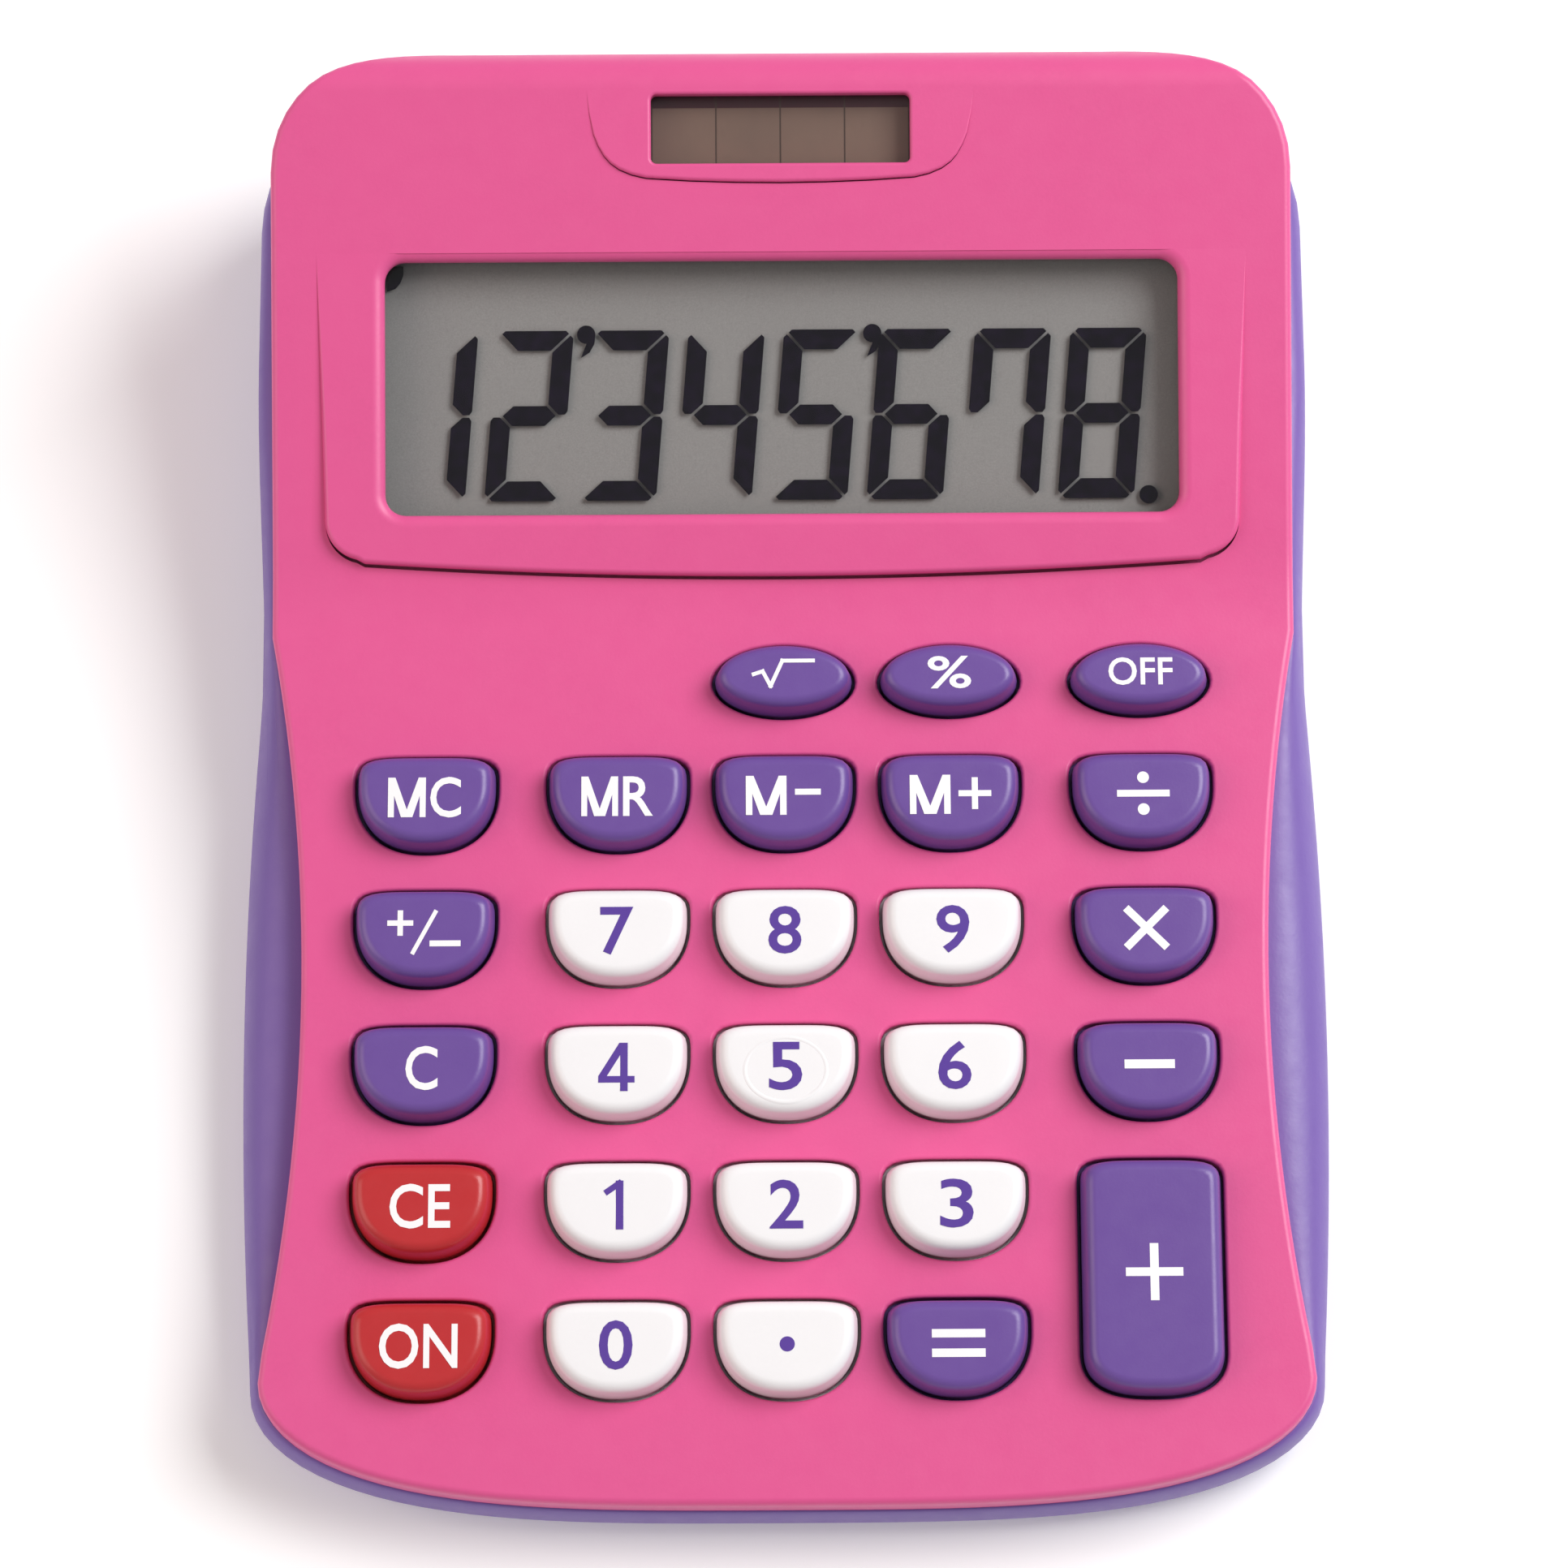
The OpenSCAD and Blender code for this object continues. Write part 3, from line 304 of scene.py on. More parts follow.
@dataclass(frozen=True)
class Crystal:
    """Switched-on liquid crystal between glass plates: matt near black with a faint violet cloud."""

    name: str
    colour: str
    cloud: str

    def build(self) -> bpy.types.Material:
        """Make the material."""
        made, tree, where = new_material(self.name)
        share = remap(tree, noise(tree, where, 1.2, 3.0), 0.4, 0.7, 0.0, 1.0)
        shader = add(tree, "ShaderNodeBsdfPrincipled", {
            "Base Color": blend_colours(tree, share, linear(self.colour), linear(self.cloud)),
            "Roughness": remap(tree, share, 0, 1, 0.8, 0.7), "Specular IOR Level": 0.03})
        add(tree, "ShaderNodeOutputMaterial", {"Surface": shader.outputs[0]})
        return made


@dataclass(frozen=True)
class SolarFilm:
    """Amorphous silicon on glass: brown film in four cells with fine laser-cut lines between them, and a dark
    band of painted shade and painted reflection along its upper edge.
    """

    name: str
    film: str
    # Colour of the band of painted shade and painted reflection along the upper edge
    bar: str
    line: str
    cell: float
    # Height in y, in millimetres, at which the band of painted shade and reflection starts
    bar_from: float

    def build(self) -> bpy.types.Material:
        """Make the material."""
        made, tree, where = new_material(self.name)
        axes = add(tree, "ShaderNodeSeparateXYZ", {0: where})
        half = self.cell * MM / 2
        across = add(tree, "ShaderNodeMath", {0: axes.outputs["X"], 1: half}, operation="PINGPONG")
        cut = remap(tree, across.outputs[0], 0.04 * MM, 0.12 * MM, 1.0, 0.0)
        # Painted shade and reflection: near the top of the cell the film turns to the dark band colour,
        # standing in for the shadow of the window's upper rim and the pink wall reflected in the cell's glass
        bar = remap(tree, axes.outputs["Y"], self.bar_from * MM, (self.bar_from + 0.08) * MM, 0.0, 1.0)
        cloud = remap(tree, noise(tree, where, 5.0, 3.0), 0.3, 0.7, 0.0, 0.2)
        film = blend_colours(tree, cloud, linear(self.film), linear(self.line))
        film_with_painted_shade = blend_colours(tree, bar, film, linear(self.bar))
        shader = add(tree, "ShaderNodeBsdfPrincipled", {
            "Base Color": blend_colours(tree, cut, film_with_painted_shade, linear(self.line)),
            "Roughness": remap(tree, cloud, 0, 0.2, 0.3, 0.4), "IOR": 1.5})
        add(tree, "ShaderNodeOutputMaterial", {"Surface": shader.outputs[0]})
        return made


@dataclass(frozen=True)
class Tracks:
    """Coated laminate or film with printed or etched conductors under it, seen as paler lines."""

    name: str
    base: str
    track: str
    pitch: float
    roughness: float
    wander: float = 0.0

    def build(self) -> bpy.types.Material:
        """Make the material."""
        made, tree, where = new_material(self.name)
        axes = add(tree, "ShaderNodeSeparateXYZ", {0: where})
        drift = remap(tree, noise(tree, where, 12.0, 1.0), 0, 1, 0.0, self.wander * MM)
        moved = add(tree, "ShaderNodeMath", {0: axes.outputs["X"], 1: drift}, operation="ADD").outputs[0]
        wave = add(tree, "ShaderNodeMath", {0: moved, 1: self.pitch * MM / 2}, operation="PINGPONG")
        line = remap(tree, wave.outputs[0], self.pitch * MM * 0.2, self.pitch * MM * 0.26, 1.0, 0.0)
        gaps = remap(tree, noise(tree, where, 7.0, 0.0), 0.42, 0.46, 0.0, 1.0)
        both = add(tree, "ShaderNodeMath", {0: line, 1: gaps}, operation="MULTIPLY").outputs[0]
        bump = add(tree, "ShaderNodeBump", {"Strength": 1.0, "Distance": 0.03 * MM, "Height": both})
        shader = add(tree, "ShaderNodeBsdfPrincipled", {
            "Base Color": blend_colours(tree, both, linear(self.base), linear(self.track)),
            "Roughness": remap(tree, noise(tree, where, 1.0), 0.3, 0.7, self.roughness, self.roughness + 0.1),
            "Normal": bump.outputs[0]})
        add(tree, "ShaderNodeOutputMaterial", {"Surface": shader.outputs[0]})
        return made


class Finish(Enum):
    """Every finish of the calculator, by the real material it is."""

    # Bright pink ABS: satin, with a fine eroded grain that breaks up the light
    CASE_PINK = Moulded("abs_pink", "#e25895", roughness=0.40, grain=0.30, depth=0.010)
    # Violet ABS: a shade deeper, with a coarser grain on the grips at the sides
    CASE_PURPLE = Moulded("abs_purple", "#775cab", roughness=0.42, grain=0.35, depth=0.012, grip_grain=1.2)
    # Violet, white and red ABS keys: smoother tops that catch small highlights
    KEY_PURPLE = Moulded("key_abs_purple", "#6c4d9c", roughness=0.36, grain=0.28, depth=0.008)
    KEY_WHITE = Moulded("key_abs_white", "#f4f4f6", roughness=0.38, grain=0.28, depth=0.006, mottle=0.02)
    KEY_RED = Moulded("key_abs_red", "#bf2c30", roughness=0.33, grain=0.28, depth=0.008)
    # Pad-printed inks: thin, even, a little glossier than the key below them
    INK_WHITE = Moulded("ink_white", "#fbfbfd", roughness=0.3, grain=0.12, depth=0.003, mottle=0.03)
    INK_PURPLE = Moulded("ink_purple", "#5c3f9e", roughness=0.3, grain=0.12, depth=0.003, mottle=0.05)
    # Clear acrylic windows, and the glass cell of the display with its polarisers
    WINDOW = ClearSheet("acrylic_clear", "#f7f8f8", gloss=0.55)
    GLASS = ClearSheet("cell_glass", "#f2f2f0", gloss=0.0)
    REFLECTOR = Foil("reflector_film", "#c9c4c9", "#d6d1d6")
    # Switched-on liquid crystal: near black, with a violet cast from the polarisers
    SEGMENT = Crystal("liquid_crystal", "#17121f", "#241a30")
    # High-impact polystyrene frame: dull white with soft mottling
    FRAME_WHITE = Moulded("polystyrene_white", "#e6e6e2", roughness=0.5, grain=0.5, depth=0.02)
    RIBBON = Tracks("polyimide_ribbon", "#b9742a", "#7a4a1c", 1.2, 0.35)
    # Solar cell: brown film with laser-cut lines, and a dark band of painted shade and painted reflection
    # along its top
    SOLAR = SolarFilm("amorphous_silicon", "#896f63", "#4a1f2c", "#4c3a34", 6.6, 66.3)
    BOARD = Tracks("fr4_board", "#2c6440", "#4c8a58", 1.6, 0.35, wander=6.0)
    EPOXY = Moulded("epoxy_black", "#17161a", roughness=0.25, grain=1.5, depth=0.05, ior=1.56)
    COMPONENTS = Moulded("ceramic_and_tin", "#5a5148", roughness=0.4, grain=0.6, depth=0.03, mottle=0.5)
    CAPACITOR = Moulded("pvc_sleeve", "#27324e", roughness=0.3, grain=0.8, depth=0.02, coat=0.3)
    SILICONE = Rubber("silicone_grey", "#c6c6ca", "#dadade", roughness=0.5)
    CARBON = Rubber("carbon_rubber", "#1a1a1c", "#3a3a3c")
    CELL_STEEL = Metal("nickelled_steel", "#c4c6ca", 0.22, line=0.2, stretch=(1.0, 8.0, 1.0))
    CONTACT = Metal("spring_steel", "#cacbcc", 0.28, line=0.12, stretch=(6.0, 1.0, 1.0))
    SCREW = Metal("zinc_plated_steel", "#b8b9be", 0.3)
    LEAD_RED = Rubber("pvc_red", "#b02626", "#c24a48", roughness=0.42)
    LEAD_BLACK = Rubber("pvc_black", "#202024", "#3c3c40", roughness=0.42)
    FOOT = Rubber("rubber_dark", "#36363a", "#55555a", roughness=0.7)

    def material(self) -> bpy.types.Material:
        """Give the finish's material, made the first time it is asked for."""
        return bpy.data.materials.get(self.value.name) or self.value.build()


# Finish of each material slot in the record
SLOTS: dict[str, Finish] = {
    "case_pink": Finish.CASE_PINK, "case_purple": Finish.CASE_PURPLE, "key_purple": Finish.KEY_PURPLE,
    "key_white": Finish.KEY_WHITE, "key_red": Finish.KEY_RED, "clear_window": Finish.WINDOW,
    "display_glass": Finish.GLASS, "reflector": Finish.REFLECTOR, "frame_white": Finish.FRAME_WHITE,
    "ribbon": Finish.RIBBON, "solar_glass": Finish.SOLAR, "board": Finish.BOARD, "epoxy": Finish.EPOXY,
    "components": Finish.COMPONENTS, "capacitor": Finish.CAPACITOR, "silicone": Finish.SILICONE,
    "carbon": Finish.CARBON, "cell_steel": Finish.CELL_STEEL, "contact_steel": Finish.CONTACT,
    "lead_red": Finish.LEAD_RED, "lead_black": Finish.LEAD_BLACK, "screw_steel": Finish.SCREW,
    "foot_rubber": Finish.FOOT}


# ---------- Mesh building ----------


class Shape:
    """Faces gathered by place and surface direction, made into one object at the end."""

    def __init__(self) -> None:
        """Start with no faces."""
        self.places: dict[tuple[int, int, int], int] = {}
        self.points: list[Vector] = []
        self.faces: list[tuple[int, ...]] = []
        self.normals: list[Vector] = []

    def _index(self, point: Vector) -> int:
        """Give a point's number; points closer than about 1 micrometre share one."""
        key = (round(point.x * 700), round(point.y * 700), round(point.z * 700))
        if key not in self.places:
            self.places[key] = len(self.points)
            self.points.append(point * MM)
        return self.places[key]

    def face(self, corners: Sequence[Corner]) -> None:
        """Add a face and turn it to agree with its corners' normals.

        Args:
            corners: Places in millimetres and surface directions, in order round the face.
        """
        kept: list[tuple[int, Corner]] = []
        for corner in corners:
            number = self._index(corner[0])
            if number not in [k[0] for k in kept]:
                kept.append((number, corner))
        if len(kept) < 3:
            return
        places = [c[0] for _, c in kept]
        flat = Vector()
        for i in range(1, len(places) - 1):
            flat += (places[i] - places[0]).cross(places[i + 1] - places[0])
        if flat.length < 1e-7:
            return
        if flat.dot(sum((c[1] for _, c in kept), Vector())) < 0:
            kept.reverse()
        self.faces.append(tuple(k[0] for k in kept))
        self.normals.extend(c[1].normalized() for _, c in kept)

    def skin(self, rings: Sequence[Sequence[Corner]], closed: bool = True) -> None:
        """Join rings of equal length with faces.

        Args:
            rings: Rings of corners, one after another.
            closed: Whether each ring joins up with its own start.
        """
        for low, high in zip(rings, rings[1:]):
            count = len(low)
            for i in range(count if closed else count - 1):
                k = (i + 1) % count
                self.face([low[i], low[k], high[k], high[i]])

    def fan(self, ring: Sequence[Corner], middle: Corner) -> None:
        """Close a ring with triangles to one point in its middle.

        Args:
            ring: Ring of corners.
            middle: The point and its surface direction.
        """
        for i, corner in enumerate(ring):
            self.face([corner, ring[(i + 1) % len(ring)], middle])

    def revolve(self, profile: Sequence[tuple[float, float]], place: Callable, steps: int = 40) -> None:
        """Turn a closed profile into a ring-shaped or solid body.

        Args:
            profile: Radius and height of each point, from the lower middle to the upper middle.
            place: Function from x, s, w to a point in space.
            steps: Number of steps round the axis.
        """
        origin = place(0.0, 0.0, 0.0)
        for (r0, w0), (r1, w1) in zip(profile, profile[1:]):
            rise, run = r1 - r0, w1 - w0
            span = math.hypot(rise, run)
            if span < 1e-9:
                continue
            rings: list[list[Corner]] = [[], []]
            for i in range(steps):
                c, s = math.cos(2 * math.pi * i / steps), math.sin(2 * math.pi * i / steps)
                way = place(c * run / span, s * run / span, -rise / span) - origin
                rings[0].append((place(c * r0, s * r0, w0), way))
                rings[1].append((place(c * r1, s * r1, w1), way))
            self.skin(rings)

    def finish(self, name: str, finish: Finish, body: str, slot: str | None = None,
               replaces: Iterable[str] = ()) -> bpy.types.Object:
        """Make the object, dress it and let it ride on its body.

        Args:
            name: Name of the piece.
            finish: Finish of its surface.
            body: CAD body that it moves with.
            slot: Material slot of the record that it stands for.
            replaces: CAD nodes that it stands for.

        Returns:
            The new object.
        """
        mesh = bpy.data.meshes.new(name)
        mesh.from_pydata(self.points, [], self.faces)
        mesh.shade_smooth()
        mesh.normals_split_custom_set(self.normals)
        made = bpy.data.objects.new(name, mesh)
        bpy.context.scene.collection.objects.link(made)
        return dress(made, finish, body, slot, replaces)


def dress(piece: bpy.types.Object, finish: Finish, body: str, slot: str | None = None,
          replaces: Iterable[str] = ()) -> bpy.types.Object:
    """Give a piece its finish and body, and hide the CAD nodes that it stands for.

    Args:
        piece: Mesh object in place.
        finish: Finish of its surface.
        body: CAD body that it moves with.
        slot: Material slot of the record; not used.
        replaces: CAD nodes that it stands for.

    Returns:
        The same object.
    """
    piece.data.materials.clear()
    piece.data.materials.append(finish.material())
    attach(piece, body)
    if replaces:
        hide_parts(*replaces)
    LOG.info("%s: %d faces on %s", piece.name, len(piece.data.polygons), body)
    return piece


# ---------- Planes and outlines ----------


@dataclass(frozen=True)
class Plane:
    """Tilted working plane: x runs across, s up the slope and w out of it."""

    y: float
    z: float
    tilt: float

    def point(self, x: float, s: float, w: float) -> Vector:
        """Give the place in space of a point on the plane."""
        c, k = math.cos(math.radians(self.tilt)), math.sin(math.radians(self.tilt))
        return Vector((x, self.y + s * c - w * k, self.z + s * k + w * c))

    def way(self, x: float, s: float, w: float) -> Vector:
        """Give the direction in space of a direction on the plane."""
        return self.point(x, s, w) - self.point(0, 0, 0)

    def on(self, s: float, w: float, turn: float = 0.0) -> "Plane":
        """Give a plane that starts at a point of this one, turned by an angle."""
        start = self.point(0, s, w)
        return Plane(start.y, start.z, self.tilt + turn)


def superellipse(a: float, b: float, power: float, start: float, stop: float, steps: int) -> Outline:
    """Points and outward directions along a rounded curve, at even angles.

    Args:
        a: Half width.
        b: Half length.
        power: How square it is; 2 gives an ellipse.
        start: First angle in degrees.
        stop: Last angle in degrees.
        steps: Number of steps between them.

    Returns:
        Tuples of x, y and the outward direction's x and y.
    """
    made: Outline = []
    for i in range(steps + 1):
        t = math.radians(start + (stop - start) * i / steps)
        c, s = math.cos(t), math.sin(t)
        c, s = (0.0 if abs(c) < 1e-9 else c), (0.0 if abs(s) < 1e-9 else s)
        r = (abs(c / a) ** power + abs(s / b) ** power) ** (-1 / power)
        x, y = r * c, r * s
        nx = math.copysign(abs(x / a) ** (power - 1) / a, x)
        ny = math.copysign(abs(y / b) ** (power - 1) / b, y)
        span = math.hypot(nx, ny)
        made.append((x, y, nx / span, ny / span))
    return made


def rounded_rect(width: float, length: float, radius: float, grow: float = 0.0) -> Outline:
    """Rectangle with round corners.

    Args:
        width: Size across.
        length: Size along.
        radius: Radius of the corners.
        grow: Distance by which every side is moved out.

    Returns:
        Tuples of x, y and the outward direction's x and y.
    """
    made: Outline = []
    for sx, sy, turn in ((1, 1, 0), (-1, 1, 90), (-1, -1, 180), (1, -1, 270)):
        for i in range(9):
            t = math.radians(turn + i * 11.25)
            c, s = math.cos(t), math.sin(t)
            reach = radius + grow
            made.append((sx * (width / 2 - radius) + reach * c, sy * (length / 2 - radius) + reach * s, c, s))
    return made


def with_directions(points: Sequence[tuple[float, float]]) -> Outline:
    """Add outward directions to an anticlockwise outline, from each point's neighbours."""
    made: Outline = []
    for i, (x, y) in enumerate(points):
        ax, ay = points[i - 1]
        bx, by = points[(i + 1) % len(points)]
        span = math.hypot(bx - ax, by - ay)
        made.append((x, y, (by - ay) / span, (ax - bx) / span))
    return made


def inside(x: float, y: float, loop: Sequence[tuple[float, float]]) -> bool:
    """Tell whether a point is inside a closed loop."""
    hit = False
    for i, (ax, ay) in enumerate(loop):
        bx, by = loop[i - 1]
        if (ay > y) != (by > y) and x < (bx - ax) * (y - ay) / (by - ay) + ax:
            hit = not hit
    return hit


def triangulate(outer: Sequence[tuple[float, float]], holes: Sequence[Sequence[tuple[float, float]]],
                extra: Sequence[tuple[float, float]] = ()) -> list[list[tuple[float, float]]]:
    """Fill an outline with triangles that leave its holes open.

    Args:
        outer: Outline.
        holes: Outlines of the holes.
        extra: Points inside that the triangles also use.

    Returns:
        Triangles of three points each.
    """
    loops = [list(outer), *[list(h) for h in holes]]
    boxes = [(min(p[0] for p in q), max(p[0] for p in q), min(p[1] for p in q), max(p[1] for p in q))
             for q in loops]

    def open_at(x: float, y: float) -> bool:
        """Tell whether a place is inside the outline and outside all holes."""
        hits = 0
        for loop, (x0, x1, y0, y1) in zip(loops, boxes):
            if x0 < x < x1 and y0 < y < y1 and inside(x, y, loop):
                hits += 1
        return hits == 1

    points: list[Vector] = []
    edges: list[tuple[int, int]] = []
    for loop in loops:
        first = len(points)
        points.extend(Vector(p) for p in loop)
        edges.extend((first + i, first + (i + 1) % len(loop)) for i in range(len(loop)))
    points.extend(Vector(p) for p in extra if open_at(*p))
    places, _, faces, *_ = delaunay_2d_cdt(points, edges, [], 0, 1e-6)
    made = []
    for face in faces:
        corners = [(places[i].x, places[i].y) for i in face]
        if open_at(sum(c[0] for c in corners) / 3, sum(c[1] for c in corners) / 3):
            made.append(corners)
    return made


# ---------- Sizes that the sub-assemblies share ----------


@dataclass(frozen=True)
class Case:
    """Sizes of the case, as the solid model has them."""

    front: float = -75.0
    nose: float = 9.9
    bend_y: float = 18.2
    keypad_tilt: float = 4.0
    display_tilt: float = 18.2
    bend_r: float = 32.0
    rear_r: float = 4.2
    wall: float = 1.8
    rim_h: float = 3.0
    floor: float = 1.2
    rim_share: float = 0.45
    rear_share: float = 0.85
    flare_start: float = 5.0
    flare_l: float = 40.0
    panel_low: float = 1.8
    panel_mid: float = 21.2
    panel_high: float = 35.0
    panel_rise: float = 1.2
    pod_l: float = 9.6
    pod_high: float = 4.1
    pod_rise: float = 0.45
    solar_inset: float = 9.8
    front_y: float = -62.0
    rear_y: float = 59.7
    waist_y: float = -23.3
    waist_half: float = 37.5
    front_power: float = 3.5
    rim_plan: tuple[float, ...] = (53.5, 13.0, 15.3, -1.5, 8.0, 1.1)
    seam_plan: tuple[float, ...] = (52.2, 12.3, 13.0, 3.6, 7.2, 0.0)
    base_plan: tuple[float, ...] = (49.5, 9.0, 11.3, -1.5, 8.0, 1.1)

    @property
    def keypad(self) -> Plane:
        """Plane of the keypad surface."""
        return Plane(self.front, self.nose, self.keypad_tilt)

    @property
    def slope(self) -> Plane:
        """Plane of the slope behind the bend."""
        rise = (self.bend_y - self.front) * math.tan(math.radians(self.keypad_tilt))
        return Plane(self.bend_y, self.nose + rise, self.display_tilt)

    @property
    def panel_relief(self) -> float:
        """Angle between the raised panel and the slope."""
        return math.atan(self.panel_rise / (self.panel_high - self.panel_low))

    @property
    def panel(self) -> Plane:
        """Plane of the raised panel round the display."""
        rise = (self.panel_high - self.panel_mid) * math.tan(self.panel_relief)
        return self.slope.on(self.panel_mid, rise, -math.degrees(self.panel_relief))

    @property
    def pod_relief(self) -> float:
        """Angle between the raised pod and the slope."""
        return math.atan(self.pod_rise / self.pod_l)

    @property
    def pod(self) -> Plane:
        """Plane of the raised pod round the solar cell."""
        rise = self.pod_high * math.tan(self.pod_relief)
        return self.slope.on(self.pod_s, rise, -math.degrees(self.pod_relief))

    @property
    def pod_s(self) -> float:
        """Distance of the solar cell's middle up the slope."""
        reach = self.rear_y + self.seam_plan[2] - self.bend_y
        return reach / math.cos(math.radians(self.display_tilt)) - self.solar_inset

    def seam_z(self, y: float) -> float:
        """Height of the seam between the two shells."""
        return self.nose + (y - self.front) * math.tan(math.radians(self.keypad_tilt)) - self.rim_h

    def flare(self, y: float) -> float:
        """How far the rear's flare has grown at y, from 0 to 1."""
        u = max(0.0, min(1.0, (y - self.flare_start) / self.flare_l))
        return u * u * (3 - 2 * u)

    def level_z(self, y: float, step: float) -> float:
        """Height of a level of the bottom shell: 0 is the floor, 1 the widest line, 2 the seam."""
        rim = self.rim_share + (self.rear_share - self.rim_share) * self.flare(y)
        share = rim * step if step < 1 else rim + (1 - rim) * (step - 1)
        return self.floor + (self.seam_z(y) - self.floor) * share

    def outline(self, plan: Sequence[float], inset: float = 0.0) -> Outline:
        """Plan outline of the case, anticlockwise from the middle of the front edge.

        Args:
            plan: Half width, front depth, rear depth, waist cut, rear squareness and rear flare.
            inset: Distance by which every side is moved in.

        Returns:
            Tuples of x, y and the outward direction's x and y.
        """
        half, front, rear = plan[0] - inset, plan[1] - inset, plan[2] - inset
        right: list[tuple[float, float]] = []
        for i in range(27):
            t = math.radians(90 * (i / 26) ** 1.75)
            x = half * math.sin(t) ** (2 / self.front_power)
            right.append((x, self.front_y - front * math.cos(t)))
        for i in range(1, 40):
            y = self.front_y + (self.rear_y - self.front_y) * i / 40
            u = (y - self.waist_y) / self.waist_half
            waist = 1 - u * u if abs(u) < 1 else 0.0
            right.append((half - plan[3] * waist + plan[5] * self.flare(y), y))
        for i in range(32, -1, -1):
            t = math.radians(90 * (i / 32) ** 3.6)
            x = (half + plan[5]) * math.sin(t) ** (2 / plan[4])
            right.append((x, self.rear_y + rear * math.cos(t)))
        return with_directions(right + [(-x, y) for x, y in right[-2:0:-1]])


CASE = Case()


class Profile:
    """Side view of the top shell's outer surface, moved in by e, walked by distance along it."""

    def __init__(self, case: Case, e: float) -> None:
        """Work out the line, the bend, the slope and the rear edge.

        Args:
            case: Sizes of the case.
            e: Distance inwards from the outer surface.
        """
        k, d = math.radians(case.keypad_tilt), math.radians(case.display_tilt)
        bend = Vector((case.bend_y, case.slope.z))
        start = Vector((case.front, case.nose))
        shift = e * (1 / math.cos(d) - 1 / math.cos(k)) / (math.tan(d) - math.tan(k))
        moved = bend + Vector((shift, shift * math.tan(k) - e / math.cos(k)))
        along_k, along_d = Vector((math.cos(k), math.sin(k))), Vector((math.cos(d), math.sin(d)))
        self.case, self.e, self.k, self.d = case, e, k, d
        self.radius = case.bend_r + e
        reach = self.radius * math.tan((d - k) / 2)
        self.s1 = (moved - start).dot(along_k) - reach
        self.s2 = self.s1 + self.radius * (d - k)
        self.t2 = (moved - bend).dot(along_d) + reach
        self.pivot = moved - along_k * reach + Vector((-math.sin(k), math.cos(k))) * self.radius
        self.edge_r = case.rear_r - e
        edge_y = case.rear_y + case.seam_plan[2] - case.rear_r
        edge_z = moved.y + (edge_y - moved.x) * math.tan(d) - self.edge_r / math.cos(d)
        self.edge = Vector((edge_y, edge_z))
        turn = self.edge + Vector((-math.sin(d), math.cos(d))) * self.edge_r
        self.s3 = self.s2 + (turn - bend).dot(along_d) - self.t2
        self.s4 = self.s3 + self.edge_r * (d + math.pi / 2)

    def corner(self, x: float, s: float) -> Corner:
        """Give the place and surface direction at a distance along the profile.

        Args:
            x: Distance across.
            s: Distance along the profile.

        Returns:
            The place in millimetres and the surface direction.
        """
        if s <= self.s1:
            plane = self.case.keypad
            return plane.point(x, s, -self.e), plane.way(0, 0, 1)
        if s <= self.s2:
            c = self.k + (s - self.s1) / self.radius
            way = Vector((0, -math.sin(c), math.cos(c)))
            middle = Vector((x, self.pivot.x, self.pivot.y))
            return middle - way * self.radius, way
        if s <= self.s3:
            plane = self.case.slope
            return plane.point(x, s - self.s2 + self.t2, -self.e), plane.way(0, 0, 1)
        c = -self.d + (min(s, self.s4) - self.s3) / self.edge_r
        way = Vector((0, math.sin(c), math.cos(c)))
        return Vector((x, self.edge.x, self.edge.y)) + way * self.edge_r, way

    def s_of_y(self, y: float) -> float:
        """Give the distance along the profile at which it passes y."""
        first, second = self.corner(0, self.s1)[0].y, self.corner(0, self.s2)[0].y
        if y <= first:
            return self.s1 - (first - y) / math.cos(self.k)
        if y <= second:
            return self.s1 + self.radius * (math.asin((y - self.pivot.x) / self.radius) - self.k)
        third = self.corner(0, self.s3)[0].y
        if y <= third:
            return self.s2 + (y - second) / math.cos(self.d)
        c = math.asin(min(1.0, (y - self.edge.x) / self.edge_r))
        return min(self.s4, self.s3 + self.edge_r * (c + self.d))


# ---------- Keys ----------


class KeyForm(Enum):
    """Outlines that the keys have."""

    ROUND = "round"
    OVAL = "oval"
    TALL = "tall"


@dataclass(frozen=True)
class KeySizes:
    """Sizes of the keys and of the grid that they stand on."""

    width: float = 14.0
    length: float = 9.6
    oval_length: float = 7.2
    rise: float = 3.0
    gap: float = 0.3
    flange: float = 0.75
    row: float = 13.84
    first_row: float = 15.95
    oval_row: float = 84.05
    columns: tuple[float, ...] = (-36.15, -16.8, 0.0, 16.8, 36.15)

    def outline(self, form: KeyForm, grow: float) -> Outline:
        """Outline of a key about its middle.

        Args:
            form: Which outline.
            grow: Distance by which it is moved out.

        Returns:
            Tuples of x, y and the outward direction's x and y.
        """
        a = self.width / 2 + grow
        if form is KeyForm.OVAL:
            return superellipse(a, self.oval_length / 2 + grow, 2.0, 0, 360, 72)[:-1]
        tall = form is KeyForm.TALL
        top = (self.length + self.row) / 2 - 3 if tall else self.length / 2 - 3
        low = 4.6 - (self.length + self.row) / 2 if tall else top
        deep, power = (4.6, 2.6) if tall else (self.length - 3, 2.25)
        upper = [(x, y + top, u, v) for x, y, u, v in superellipse(a, 3 + grow, 4.5, 0, 180, 36)]
        lower = [(x, y + low, u, v) for x, y, u, v in superellipse(a, deep + grow, power, 180, 360, 36)]
        return upper + (lower if tall else lower[1:-1])


KEYS = KeySizes()


def bar(x: float, y: float, width: float, height: float) -> list[tuple[float, float]]:
    """Give a bar's corners about its middle."""
    a, b = width / 2, height / 2
    return [(x - a, y - b), (x + a, y - b), (x + a, y + b), (x - a, y + b)]


